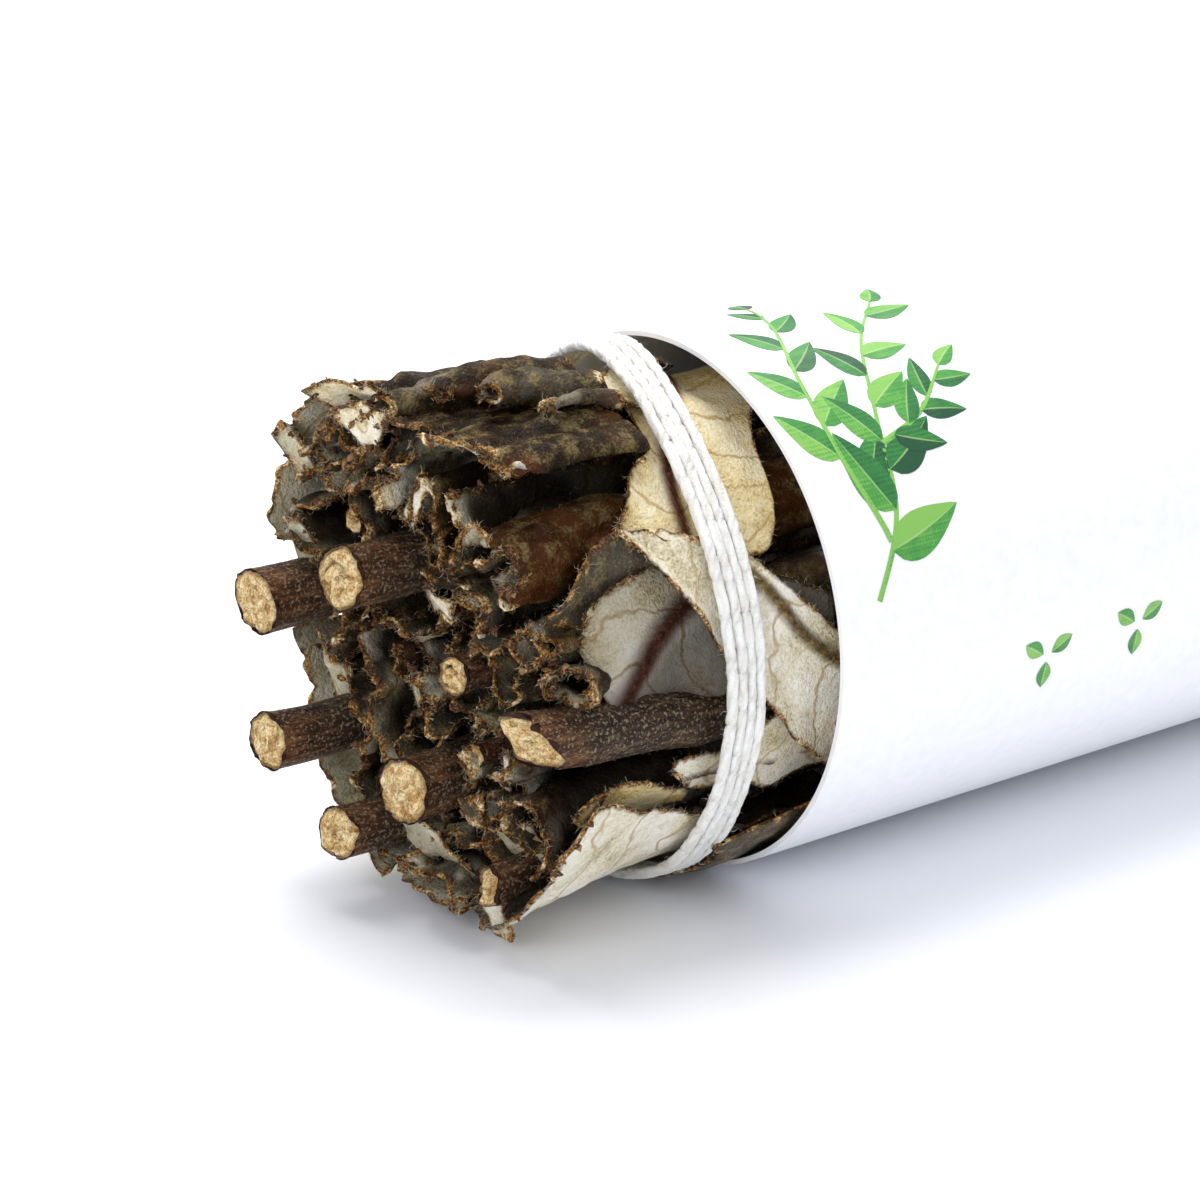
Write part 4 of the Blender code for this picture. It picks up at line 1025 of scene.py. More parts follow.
def tip_leaf(name, felt_out, felt_in, layer, middle, width, start_x, tip_x, looks):
    """A leaf of the far end, which narrows to its tip past the sleeve."""
    seed = seed_of(name)
    x_rows = np.linspace(start_x, tip_x, 110)
    part = (x_rows - start_x) / (tip_x - start_x)
    spread = width * np.minimum(1.0, 0.5 + part) * np.maximum(1 - part ** 5, 0.0) + 1.5
    share = np.linspace(-0.5, 0.5, 41)
    spread = spread * (1 + 0.05 * noise(beside(x_rows, seed), 2.0, seed))
    angle = middle + spread[:, None] * share
    x = np.broadcast_to(x_rows[:, None], angle.shape)
    mm_a_degree = math.radians(1) * layer
    across = (angle - middle) * mm_a_degree
    rib = np.exp(-np.abs(across / 0.45) ** 3)
    waved = rumple(ring_points(x, layer, angle), (0.22, 4.0, seed), (0.08, 1.5, seed + 1))
    grid = ring_points(x, layer + (waved + 0.25 * rib * (felt_out > 0.5)), angle)
    edge = (0.5 - np.abs(share)) * spread[:, None] * mm_a_degree
    thick = looks.thickness * (0.6 + 0.4 * ease(0.0, 0.5, edge))
    # The inner face gets a little painted shade
    values = {"felt": (felt_out, felt_in), "edge": edge + 0.15, "rib": (rib, 0.0),
              "tone": 0.8 + 0.15 * noise(grid, 6.0, seed + 4), "deep": (0.0, 0.3)}
    piece = blade(name, grid, thick, values, np.stack([x + seed, across], axis=-1))
    return stand_for(piece, name)


def scraps(looks):
    """Torn scraps of leaf in and across the cut end between the folds, all in one mesh."""
    draw = random.Random(SCRAP_SEED)
    rows, columns = SCRAP_GRID
    points, faces, uvs = [], [], []
    values = {key: [] for key in ("felt", "edge", "tone", "rib", "deep")}

    def keep(grid, edge, deep, felt, tone):
        half = grid_normals(grid) * (SCRAP_THICKNESS / 2 * (0.5 + 0.5 * ease(0, 0.4, edge)))[..., None]
        faces.append(blade_faces(rows, columns, 2 * rows * columns * len(points)))
        points.append(np.vstack([(grid + half).reshape(-1, 3), (grid - half).reshape(-1, 3)]))
        for key, level in (("felt", felt), ("tone", tone), ("rib", 0.0), ("edge", edge), ("deep", deep)):
            values[key].append(np.tile(np.broadcast_to(level, (rows, columns)).ravel(), 2))
        flat = np.stack([grid[..., 0], edge * 3], axis=-1).reshape(-1, 2)
        uvs.append(np.vstack([flat, flat]))

    def blocked(u, w):
        return (u > 6.5 and -6.0 < w < 14.0
                or any(math.hypot(u - row[4][0][1], w - row[4][0][2]) < row[1] + 0.5 for row in STEMS)
                or any(math.hypot(u - at_u, w - at_w) < reach for at_u, at_w, reach in HOLLOWS))

    down = np.linspace(0, 1, rows)[:, None]
    across = np.linspace(0, 1, columns)[None, :]
    for k, (felt, tone, x_from, x_to, *corners) in enumerate(PATCHES):
        a, b, c, d = (np.array(corner) for corner in corners)
        wide = (1 - down)[..., None] * (a + across[..., None] * (b - a)) + down[..., None] * (
            d + across[..., None] * (c - d))
        size = float(np.linalg.norm(b - a) + np.linalg.norm(d - a)) / 2
        probe = np.stack([wide[..., 0], wide[..., 1], np.full((rows, columns), k * 9)], axis=-1)
        wide = wide + 0.4 * np.stack([noise(probe, 1.4, k), noise(probe, 1.4, k + 30)], axis=-1)
        x = rumple(probe, (0.45, 2.4, k + 60), (0.12, 0.8, k + 90), start=x_from + (x_to - x_from) * down)
        edge = np.minimum(np.minimum(down, 1 - down), np.minimum(across, 1 - across)) * size
        keep(bunch_points(x, wide[..., 0], wide[..., 1]), edge, 0.0, felt, tone)
    while len(points) < looks.scraps + len(PATCHES):
        angle, out = draw.uniform(0, 2 * math.pi), SCRAP_REACH * math.sqrt(draw.random())
        if len(points) % 3 == 0:
            # Every third scrap lies on the left, where the gaps are widest
            angle, out = math.radians(draw.uniform(118, 214)), draw.uniform(10.0, 14.6)
        u, w = out * math.cos(angle), out * math.sin(angle)
        if blocked(u, w):
            continue
        heading = draw.uniform(0, 2 * math.pi)
        step = draw.uniform(0.8, 1.8)
        fold = [(u, w)]
        for _ in range(3):
            heading += draw.uniform(-1.2, 1.2)
            fold.append((fold[-1][0] + step * math.cos(heading), fold[-1][1] + step * math.sin(heading)))
        line, length = curve_through(fold, columns)
        seed = len(points) + 200
        run = np.linspace(0, length, columns)
        probe = np.stack([run, np.zeros(columns), np.full(columns, seed)], axis=1)
        front = FACE_X + draw.uniform(0.0, 6.5) + 1.1 * noise(probe, 0.9, seed)
        gone = np.broadcast_to(down ** 1.4 * draw.uniform(4.0, 7.0), (rows, columns))
        lean = [draw.uniform(-0.3, 0.3) * (gone - 2) for _ in range(2)]
        grid = bunch_points(front + gone, line[:, 0] + lean[0], line[:, 1] + lean[1])
        bump = rumple(grid, (0.6, 1.6, seed), (0.35, 0.7, seed + 1)) * np.exp(-gone / 5)
        grid = grid + grid_normals(grid) * bump[..., None]
        edge = np.minimum(gone, np.minimum(run, length - run))
        felt = draw.choice([0.05, 0.05, 0.1, 0.15, 0.8])
        # Painted shade, darker the further back from the scrap's front
        keep(grid, edge, ease(0.3, 3.0, gone), felt, draw.uniform(0.2, 0.9))
    piece = make_piece("torn_scraps", np.vstack(points), faces, [finish("leaf", leaf_finish)],
                       {key: np.concatenate(parts) for key, parts in values.items()}, np.vstack(uvs))
    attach(piece, "root")
    return piece


# Stems

def stem(name, radius, slant, pith, stations, looks):
    """A woody shoot: ridged bark, and at the cut a ring of bark round torn wood."""
    seed = seed_of(name)
    knots = np.array(stations, float)
    cut_x, end_x = knots[0, 0], knots[-1, 0]
    sides = looks.stem_sides if radius > 1.2 else looks.stem_sides // 2
    x_rows = steps(cut_x, end_x, 0.22, 1.03, 3.0)
    turn = np.linspace(0, 2 * math.pi, sides, endpoint=False)
    centre = bunch_points(x_rows, *(np.interp(x_rows, knots[:, 0], knots[:, k]) for k in (1, 2)))
    gone = x_rows - cut_x
    lines = np.stack(np.broadcast_arrays(x_rows[:, None] / 7, np.cos(turn) * radius, np.sin(turn) * radius),
                     axis=-1)
    relief = looks.bark_relief * rumple(lines, (1.0, 0.75, seed), (0.5, 0.32, seed + 1))
    lumps = 0.055 * radius * noise(lines * np.array([2.0, 1, 1]), 2.2, seed + 2)
    lip = 0.1 * np.exp(-gone / 0.5)[:, None] * (1 + noise(lines * np.array([6.0, 1, 1]), 0.6, seed + 3))
    reach = (radius * (1 - STEM_TAPER * gone))[:, None] * 0.965 + relief + lumps + lip
    side, rise = reach * np.cos(turn), reach * np.sin(turn)
    end = slant[0] * side + slant[1] * rise
    end = end + rumple(lines[:1], (0.26, 0.9, seed + 4), (0.18, 0.35, seed + 5))
    if pith == "torn":
        end = end + 1.2 * noise(lines[:1], 1.3, seed + 6)
    x = x_rows[:, None] + end * np.exp(-gone / (radius * 1.6))[:, None]
    bark = np.stack([x, centre[:, None, 1] - side, centre[:, None, 2] + rise], axis=-1)

    # The cut, from the bark's lip in to the pith
    shares = np.array(CUT_RINGS)[:, None]
    cut_side, cut_rise = side[0] * shares, rise[0] * shares
    spots = np.stack([np.zeros_like(cut_side), cut_side, cut_rise], axis=-1)
    plane = cut_x + slant[0] * cut_side + slant[1] * cut_rise
    ring_gap = 0.45 * np.exp(-((shares - 0.88) / 0.035) ** 2) * (0.6 + 0.6 * noise(spots, 1.6, seed + 10))
    sunk = np.maximum(ring_gap, 0)
    if pith == "ringed":
        sunk = sunk + 0.6 * np.exp(-((shares / 0.3) ** 2))
    if pith in ("curled", "split"):
        bow = np.hypot(cut_side + 0.2 * radius, cut_rise + 0.1 * radius) / radius
        groove = np.exp(-((bow - 0.5) / 0.08) ** 2) * (np.abs(turn - 2.2) < 2.0)
        sunk = sunk + (0.45 if pith == "curled" else 1.0) * groove
    crack = np.exp(-(noise(spots, 1.9, seed + 11) / 0.05) ** 2) * 0.25 * (noise(spots, 1.4, seed + 12) > 0.1)
    sunk = sunk + crack
    rough = 0.2 * noise(spots, 0.9, seed + 7) + 0.2 * noise(spots * np.array([1, 1, 0.4]), 0.32, seed + 8)
    if pith == "torn":
        rough = rough + 1.2 * noise(spots * np.array([1, 1, 0.35]), 0.9, seed + 9)
    dome = -0.1 * radius * (1 - shares ** 2)
    wood = np.stack([plane + sunk + rough + dome, centre[0, 1] - cut_side, centre[0, 2] + cut_rise], axis=-1)
    hub = np.array([[wood[-1, :, 0].mean(), centre[0, 1], centre[0, 2]]])
    far = np.array([[end_x, centre[-1, 1], centre[-1, 2]]])

    # The faces: the bark, its lip, the rings of the cut, the fans that close the hub and the far end
    rows, cuts = len(x_rows), len(CUT_RINGS)
    points = np.vstack([bark.reshape(-1, 3), wood.reshape(-1, 3), hub, far])
    offset = rows * sides
    inmost, back = offset + (cuts - 1) * sides, offset - sides
    around = np.arange(sides)
    after = (around + 1) % sides
    skin = grid_faces(rows, sides, closed=True, turned=True)
    lip_faces = np.stack([around, after, offset + after, offset + around], axis=1)
    face = grid_faces(cuts, sides, offset, closed=True)
    fan = np.stack([inmost + around, inmost + after, np.full(sides, len(points) - 2)], axis=1)
    far_fan = np.stack([back + after, back + around, np.full(sides, len(points) - 1)], axis=1)
    faces = [np.vstack([skin, lip_faces, face]), np.vstack([fan, far_fan])]
    slots = np.repeat([0, 1, 0], [len(skin), len(lip_faces) + len(face) + sides, sides])
    # sunk also gives the cut its painted shade where it is sunk in
    values = {"out": np.concatenate([np.ones(offset), np.repeat(CUT_RINGS, sides), [0, 1]]),
              "cut": np.concatenate([np.repeat(gone, sides), np.zeros(cuts * sides), [0, gone[-1]]]),
              "sunk": np.concatenate([np.zeros(offset), sunk.ravel(), [sunk[-1].mean(), 0]])}
    piece = make_piece(name, points, faces, [finish("bark", bark_finish), finish("wood", wood_finish)],
                       values, slots=slots)
    return stand_for(piece, name)


# String

def string_path(step, gap):
    """The string's path: a band of turns side by side, a slow turn back, a second band."""
    width = gap * FRONT_TURNS
    legs = [(-width / 2, width / 2, KNOT_ANGLE, FRONT_TURNS, step),
            (width / 2, BACK_BAND_X - BAND_X, KNOT_ANGLE, 1.0, step * 4),
            (BACK_BAND_X - BAND_X, BACK_BAND_X - BAND_X + STRING_PITCH * BACK_TURNS, KNOT_ANGLE,
             BACK_TURNS + 0.2, step * 4)]
    path = []
    for off_from, off_to, angle_from, turns, spacing in legs:
        count = round(2 * math.pi * STRING_PATH * turns / spacing)
        part = np.arange(count) / count
        angle = angle_from + 360 * turns * part
        off = off_from + (off_to - off_from) * part
        near = 1 - ease(4, 12, off)
        x = off + BAND_X + (band_middle(angle) - BAND_X) * near
        turn = np.radians(angle)
        # Spots to read noise at, far apart from turn to turn, so that each turn wanders by itself
        spots = np.stack([20 * np.cos(turn), 20 * np.sin(turn), off * 9], axis=1)
        wander = rumple(spots, (0.13, 7.0, 3), (0.05, 2.0, 4))
        aside, up = drift(x)
        out = STRING_PATH * swell(x, angle) + 0.12 * noise(spots, 5.0, 9)
        path.append(np.stack([x + wander, -(out * np.cos(turn) + aside), AXIS_Z + out * np.sin(turn) + up],
                             axis=1))
    return np.vstack(path)


def knot_path(count):
    """A trefoil, on the far side of the bunch in front of the band."""
    turn = math.radians(KNOT_ANGLE)
    middle = band_middle(KNOT_ANGLE) - 4.4
    centre = np.array([middle, -KNOT_PATH * math.cos(turn), AXIS_Z + KNOT_PATH * math.sin(turn)])
    outwards = np.array([0, -math.cos(turn), math.sin(turn)])
    along = np.array([1.0, 0, 0])
    aside = np.cross(outwards, along)
    t = np.linspace(0, 2 * math.pi, count, endpoint=False)[:, None]
    return centre + KNOT_SIZE * (along * (np.sin(t) + 2 * np.sin(2 * t))
                                 + aside * (np.cos(t) - 2 * np.cos(2 * t)) - outwards * np.sin(3 * t))


def new_tree(name, *sockets):
    """A Geometry Nodes tree with its group input and output, and named inputs of (name, type, default)."""
    tree = bpy.data.node_groups.new(name, "GeometryNodeTree")
    tree.interface.new_socket("Geometry", in_out="OUTPUT", socket_type="NodeSocketGeometry")
    tree.interface.new_socket("Geometry", in_out="INPUT", socket_type="NodeSocketGeometry")
    for label, kind, default in sockets:
        socket = tree.interface.new_socket(label, in_out="INPUT", socket_type="NodeSocket" + kind)
        if default is not None:
            socket.default_value = default
    return tree, tree.nodes.new("NodeGroupInput").outputs


def grow(obj, tree, inputs):
    """Run a tree on an object with its named inputs and leave the result as a plain mesh."""
    modifier = obj.modifiers.new(tree.name, "NODES")
    modifier.node_group = tree
    for item in tree.interface.items_tree:
        if item.in_out == "INPUT" and item.name in inputs:
            modifier[item.identifier] = inputs[item.name]
    bpy.context.view_layer.update()
    shaped = obj.evaluated_get(bpy.context.evaluated_depsgraph_get())
    mesh = bpy.data.meshes.new_from_object(shaped, preserve_all_data_layers=True,
                                           depsgraph=bpy.context.evaluated_depsgraph_get())
    mesh.name = obj.name
    made = linked(obj.name + "_made", mesh)
    name = obj.name
    bpy.data.objects.remove(obj, do_unlink=True)
    made.name = name
    mesh.polygons.foreach_set("use_smooth", np.ones(len(mesh.polygons), bool))
    return made


def twine_tree():
    """A laid cord along a curve: a lobed section, one lobe for each ply, turned as it goes."""
    tree, given = new_tree("laid_twine", ("Radius", "Float", 0.0006), ("Plies", "Float", 3.0),
                           ("Lay", "Float", 0.004), ("Sides", "Int", 18), ("Unevenness", "Float", 0.12),
                           ("Finish", "Material", None))
    along = add(tree, "GeometryNodeSplineParameter", out="Length")
    turns = add(tree, "Math", (along, given["Lay"]), operation="DIVIDE")
    slub = add(tree, "TexNoise", {"W": along, "Scale": per(3.0)}, noise_dimensions="1D")
    turns = add(tree, "Math", (slub, 0.9, turns), operation="MULTIPLY_ADD")
    tilt = add(tree, "Math", (turns, 2 * math.pi), operation="MULTIPLY")
    path = add(tree, "GeometryNodeSetCurveTilt", {"Curve": given["Geometry"], "Tilt": tilt})
    swing = add(tree, "Math", (slub, -0.5), operation="ADD")
    girth = add(tree, "Math", (swing, given["Unevenness"], 1.0), operation="MULTIPLY_ADD")
    path = add(tree, "GeometryNodeSetCurveRadius", {"Curve": path, "Radius": girth})
    ring = add(tree, "GeometryNodeCurvePrimitiveCircle", {"Resolution": given["Sides"], "Radius": 1.0})
    share = add(tree, "GeometryNodeSplineParameter", out="Factor")
    lobes = add(tree, "Math", (share, given["Plies"]), operation="MULTIPLY")
    off = add(tree, "Math", (lobes, 0.5), operation="PINGPONG")
    bulge = add(tree, "Math", (off, math.pi), operation="MULTIPLY")
    bulge = add(tree, "Math", (bulge,), operation="COSINE")
    reach = add(tree, "MapRange", (bulge, 0.0, 1.0, 0.8, 1.0))
    reach = add(tree, "Math", (reach, given["Radius"]), operation="MULTIPLY")
    spot = add(tree, "GeometryNodeInputPosition")
    spot = add(tree, "VectorMath", {0: spot, "Scale": reach}, operation="SCALE")
    ring = add(tree, "GeometryNodeSetPosition", {"Geometry": ring, "Position": spot})
    # How far into the groove between plies; the cotton paints its shade from this
    groove = add(tree, "Math", (1.0, bulge), operation="SUBTRACT")
    ring = add(tree, "GeometryNodeStoreNamedAttribute",
               {"Geometry": ring, "Name": "groove", "Value": groove}, data_type="FLOAT", domain="POINT")
    cord = add(tree, "GeometryNodeCurveToMesh", {"Curve": path, "Profile Curve": ring, "Fill Caps": True})
    cord = add(tree, "GeometryNodeRealizeInstances", {"Geometry": cord})
    cord = add(tree, "GeometryNodeSetMaterial", {"Geometry": cord, "Material": given["Finish"]})
    add(tree, "NodeGroupOutput", {"Geometry": cord})
    return tree


def scatter_tree():
    """Small things spread over a mesh where its attribute 'take' says, stood on it at random slants."""
    tree, given = new_tree("scattered_bits", ("Bit", "Object", None), ("Density", "Float", 1e6),
                           ("Smallest", "Float", 0.5), ("Largest", "Float", 1.0), ("Slant", "Float", 1.0),
                           ("Seed", "Int", 1), ("Finish", "Material", None))
    take = add(tree, "GeometryNodeInputNamedAttribute", {"Name": "take"}, out="Attribute",
               data_type="FLOAT")
    density = add(tree, "Math", (take, given["Density"]), operation="MULTIPLY")
    spread = add(tree, "GeometryNodeDistributePointsOnFaces",
                 {"Mesh": given["Geometry"], "Density": density, "Seed": given["Seed"]},
                 distribute_method="RANDOM")
    bit = add(tree, "GeometryNodeObjectInfo", {"Object": given["Bit"]}, out="Geometry")
    minus = add(tree, "Math", (given["Slant"], -1.0), operation="MULTIPLY")
    low = add(tree, "CombineXYZ", {"X": minus, "Y": minus, "Z": -math.pi})
    high = add(tree, "CombineXYZ", {"X": given["Slant"], "Y": given["Slant"], "Z": math.pi})
    turned = add(tree, "FunctionNodeRandomValue", {0: low, 1: high, "Seed": given["Seed"]},
                 data_type="FLOAT_VECTOR")
    size = add(tree, "FunctionNodeRandomValue",
               {2: given["Smallest"], 3: given["Largest"], "Seed": given["Seed"]}, out=1, data_type="FLOAT")
    stood = add(tree, "FunctionNodeRotateRotation",
                {"Rotation": spread.node.outputs["Rotation"], "Rotate By": turned}, rotation_space="LOCAL")
    placed = add(tree, "GeometryNodeInstanceOnPoints", {"Points": spread, "Instance": bit,
                                                        "Rotation": stood, "Scale": size})
    real = add(tree, "GeometryNodeRealizeInstances", {"Geometry": placed})
    done = add(tree, "GeometryNodeSetMaterial", {"Geometry": real, "Material": given["Finish"]})
    add(tree, "NodeGroupOutput", {"Geometry": done})
    return tree


def twine(name, path, radius, closed, node, looks):
    """A length of the cotton string along a path."""
    curve = bpy.data.curves.new(name, "CURVE")
    curve.dimensions = "3D"
    spline = curve.splines.new("POLY")
    spline.points.add(len(path) - 1)
    spline.use_cyclic_u = closed
    flat = np.ones((len(path), 4), np.float32)
    flat[:, :3] = to_frame(path)
    spline.points.foreach_set("co", flat.ravel())
    made = grow(linked(name, curve), finish("twine tree", twine_tree),
                {"Radius": radius * MM, "Plies": float(looks.plies), "Lay": looks.lay, "Sides": TWINE_SIDES,
                 "Finish": finish("cotton", cotton_finish)})
    return stand_for(made, node)


def strand(name, length, width, bends, curl):
    """One curved hair, three-sided and pointed, as a pattern for the scatter."""
    draw = random.Random(name)
    points, lean, side, place = [], 0.3, 0.0, np.zeros(3)
    for row in range(bends):
        size = width * (1 - 0.75 * row / bends)
        for k in range(3):
            turn = 2 * math.pi * k / 3
            points.append(place + size * np.array([math.cos(turn), math.sin(turn), 0]))
        lean += draw.uniform(0.2, 1.0) * curl
        side += draw.uniform(-1.0, 1.0) * curl
        heading = np.array([math.sin(lean) * math.cos(side), math.sin(lean) * math.sin(side),
                            max(math.cos(lean), -0.2)])
        place = place + length / bends * heading
    points.append(place)
    mesh = bpy.data.meshes.new(name)
    faces = [(3 * r + a, 3 * r + (a + 1) % 3, 3 * r + 3 + (a + 1) % 3, 3 * r + 3 + a)
             for r in range(bends - 1) for a in range(3)]
    faces += [(2, 1, 0)] + [(3 * bends - 3 + a, 3 * bends - 3 + (a + 1) % 3, 3 * bends) for a in range(3)]
    mesh.from_pydata([tuple(p * MM) for p in points], [], faces)
    return linked(name, mesh)


def hosts(name, sources, take):
    """One throwaway mesh of several pieces, with the attribute that says where bits are spread."""
    points, corners, sizes, amount, start = [], [], [], [], 0
    for source in sources:
        co = read_numbers(source.data.vertices, "co", each=3).reshape(-1, 3)
        points.append(co)
        amount.append(take(source, (co - np.array([RIM_X, 0, 0])) / MM))
        corners.append(read_numbers(source.data.loops, "vertex_index", np.int32) + start)
        sizes.append(read_numbers(source.data.polygons, "loop_total", np.int32))
        start += len(co)
    mesh = mesh_of(name, np.vstack(points), np.concatenate(corners), np.concatenate(sizes))
    mesh.update(calc_edges=True)
    set_values(mesh, {"take": np.concatenate(amount)})
    return linked(name, mesh)


def chip(name, size):
    """A crumpled crumb of dry leaf, as a pattern for the scatter."""
    draw = random.Random(name)
    rows = columns = 3
    mesh = bpy.data.meshes.new(name)
    grid = [[Vector(((i - 1) * 0.5 + draw.uniform(-0.2, 0.2), (j - 1) * 0.32 + draw.uniform(-0.15, 0.15),
                     draw.uniform(-0.25, 0.35))) for j in range(columns)] for i in range(rows)]
    points = [p * size * MM for row in grid for p in row]
    points += [(p + Vector((0, 0, 0.14))) * size * MM for row in grid for p in row]
    faces = [tuple(int(v) for v in face) for face in blade_faces(rows, columns)]
    mesh.from_pydata(points, [], [tuple(reversed(f)) for f in faces])
    return linked(name, mesh)


def scatter(name, sources, take, bit, density, smallest, largest, slant, seed, material, slot):
    """Spread copies of a small pattern over pieces, as one mesh of its own."""
    host = hosts(name, sources, take)
    made = grow(host, finish("scatter tree", scatter_tree),
                {"Bit": bit, "Density": density, "Smallest": smallest, "Largest": largest, "Slant": slant,
                 "Seed": seed, "Finish": material})
    bpy.data.objects.remove(bit, do_unlink=True)
    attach(made, "root")
    return made


def made_pieces(*starts):
    """The finished pieces whose names start in one of the given ways."""
    return [o for o in bpy.context.scene.objects if o.type == "MESH" and o.name.startswith(starts)
            and (o.data.attributes.get("edge") or o.data.attributes.get("cut"))]


def read_values(obj, key):
    """A mesh attribute's numbers."""
    return read_numbers(obj.data.attributes[key].data, "value")


# Paper sleeve

def sleeve_points(x, angle, out=0.0):
    """Points on the sleeve's outside, out from it, pressed flat underneath."""
    turn = np.radians(angle)
    step = LAP_STEP * ease(LAP_ANGLE, LAP_ANGLE + 0.6, angle % 360)
    step = step * (1 - ease(LAP_ANGLE + LAP_WIDTH - 0.6, LAP_ANGLE + LAP_WIDTH, angle % 360))
    radius = SLEEVE_RADIUS + out + step * (out > -0.1)
    low = -(SLEEVE_RADIUS + min(out, 0.0)) + SLEEVE_FLAT
    height = np.maximum(radius * np.sin(turn), low)
    x, y, z = np.broadcast_arrays(x, -radius * np.cos(turn), SLEEVE_RADIUS - SLEEVE_FLAT + height)
    return np.stack([x, y, z], axis=-1).astype(float)


def on_sleeve(spots, out):
    """Points a little out from the sleeve, from x and the arc round it in millimetres."""
    return sleeve_points(spots[..., 0], np.degrees(spots[..., 1] / SLEEVE_RADIUS), out)


def leaf_print(line, longest, count, seed):
    """A printed twig with leaves by turns on either side: grids of spots with their shades and veins."""
    draw = random.Random(seed)
    arc = math.radians(1) * SLEEVE_RADIUS
    spine = curve_through([(x, angle * arc) for x, angle in line], 40)[0]
    heading = np.gradient(spine, axis=0)
    heading /= np.linalg.norm(heading, axis=1, keepdims=True)
    across = np.stack([-heading[:, 1], heading[:, 0]], axis=1)
    width = np.linspace(0.26, 0.1, 40)[:, None]
    parts = [(np.stack([spine - across * width, spine + across * width], axis=1), 0.75, 9.0)]
    for k in range(count + 1):
        at = 39 if k == count else round(39 * (0.14 + 0.84 * k / count))
        turn = 0 if k == count else (1 if k % 2 else -1) * draw.uniform(0.6, 0.95)
        along = heading[at] * math.cos(turn) + across[at] * math.sin(turn)
        aside = np.array([-along[1], along[0]])
        size = longest * (1 - 0.45 * k / count) * draw.uniform(0.85, 1.1)
        bend = draw.uniform(-0.16, 0.16)
        t = np.linspace(0, 1, 13)
        half = 0.25 * size * np.sin(np.pi * t ** 0.8) ** 0.8 * (1.1 - 0.4 * t)
        middle = spine[at] + size * (t[:, None] * along + bend * (t[:, None] ** 2) * aside)
        shares = np.linspace(-1, 1, 7)
        grid = middle[:, None, :] + half[:, None, None] * shares[None, :, None] * aside
        parts.append((grid, draw.uniform(0.0, 0.6), size * 0.25))
    return parts


def trefoil_print(middle):
    """Three small printed leaves round a spot on the sleeve."""
    arc = math.radians(1) * SLEEVE_RADIUS
    centre = np.array([middle[0], middle[1] * arc])
    parts = []
    for k in range(3):
        along = np.array([math.cos(2.1 * k + 0.5), math.sin(2.1 * k + 0.5)])
        aside = np.array([-along[1], along[0]])
        t = np.linspace(0, 1, 9)
        half = 0.75 * np.sin(np.pi * t) ** 0.9
        grid = (centre + (0.5 + 2.4 * t[:, None]) * along)[:, None, :]
        grid = grid + half[:, None, None] * np.linspace(-1, 1, 5)[None, :, None] * aside
        parts.append((grid, 0.45, 0.75))
    return parts


class SleeveLooks(bpy.types.PropertyGroup):
    wall: bpy.props.FloatProperty(name="Card", description="Thickness of the card", default=0.0004,
                                  unit="LENGTH")
    sides: bpy.props.IntProperty(name="Sides", description="Faces round the tube", default=240, min=48)


class LeafLooks(bpy.types.PropertyGroup):
    thickness: bpy.props.FloatProperty(name="Thickness", description="Of a dried blade, in mm", default=0.34)
    crumple: bpy.props.FloatProperty(name="Crumple", description="Depth of the creases, in mm", default=0.62)
    fold_step: bpy.props.FloatProperty(name="Fold step", description="Between points across a fold, in mm",
                                       default=0.32)
    wrap_step: bpy.props.FloatProperty(name="Wrap step", description="Between points round the bunch, in mm",
                                       default=0.32)
    fine_step: bpy.props.FloatProperty(name="Fine step", description="Between points by an edge, in mm",
                                       default=0.24)
    scraps: bpy.props.IntProperty(name="Scraps", description="Torn scraps in the cut end", default=64, min=0)


class StemLooks(bpy.types.PropertyGroup):
    stem_sides: bpy.props.IntProperty(name="Sides", description="Faces round a stem", default=56, min=12)
    bark_relief: bpy.props.FloatProperty(name="Bark relief", description="Height of the ridges, in mm",
                                         default=0.09)


class StringLooks(bpy.types.PropertyGroup):
    radius: bpy.props.FloatProperty(name="Radius", description="Of the string, in mm", default=0.47)
    gap: bpy.props.FloatProperty(name="Gap", description="Between the turns of the band, in mm",
                                 default=0.92)
    plies: bpy.props.IntProperty(name="Plies", description="Strands laid together", default=3, min=2, max=5)
    lay: bpy.props.FloatProperty(name="Lay", description="Length of one full turn of a ply", default=0.0068,
                                 unit="LENGTH")
    fuzz: bpy.props.FloatProperty(name="Fuzz", description="Loose fibres on a square metre", default=3.0e6)


class StageLooks(bpy.types.PropertyGroup):
    floor: bpy.props.FloatVectorProperty(name="Floor", description="Colour of the floor", subtype="COLOR",
                                         default=linear("#f2f4f9")[:3])
    sky: bpy.props.FloatProperty(name="Sky", description="Strength of the light all round", default=0.7)
    key: bpy.props.FloatProperty(name="Key", description="Power of the softbox overhead", default=5.0,
                                 unit="POWER")
    fill: bpy.props.FloatProperty(name="Fill", description="Power of the light by the camera", default=1.6,
                                  unit="POWER")


class HERBS_OT_sleeve(bpy.types.Operator):
    """Roll the paper sleeve round the bunch"""

    bl_idname = "herbs.sleeve"
    bl_label = "Paper Sleeve"

    def execute(self, context):
        looks = context.scene.herb_sleeve
        sides = looks.sides
        angle = np.arange(sides) * 360 / sides
        wall = looks.wall / MM
        x_rows = np.linspace(0, SLEEVE_LENGTH, 60)
        outside = sleeve_points(x_rows[:, None], angle[None, :], 0.0)
        inside = sleeve_points(x_rows[:, None], angle[None, :], -wall)
        points = np.vstack([outside.reshape(-1, 3), inside.reshape(-1, 3)])
        rows = len(x_rows)
        count = rows * sides
        around = np.arange(sides)
        after = (around + 1) % sides
        front = np.stack([around, after, count + after, count + around], axis=1)
        back = front[:, ::-1] + (rows - 1) * sides
        faces = [np.vstack([grid_faces(rows, sides, closed=True, turned=True),
                            grid_faces(rows, sides, count, closed=True), front, back])]
        piece = make_piece("sleeve_card", points, faces, [finish("paper", paper_finish)])
        piece.data.set_sharp_from_angle(angle=math.radians(40))
        stand_for(piece, "paper_sleeve")
        return {"FINISHED"}


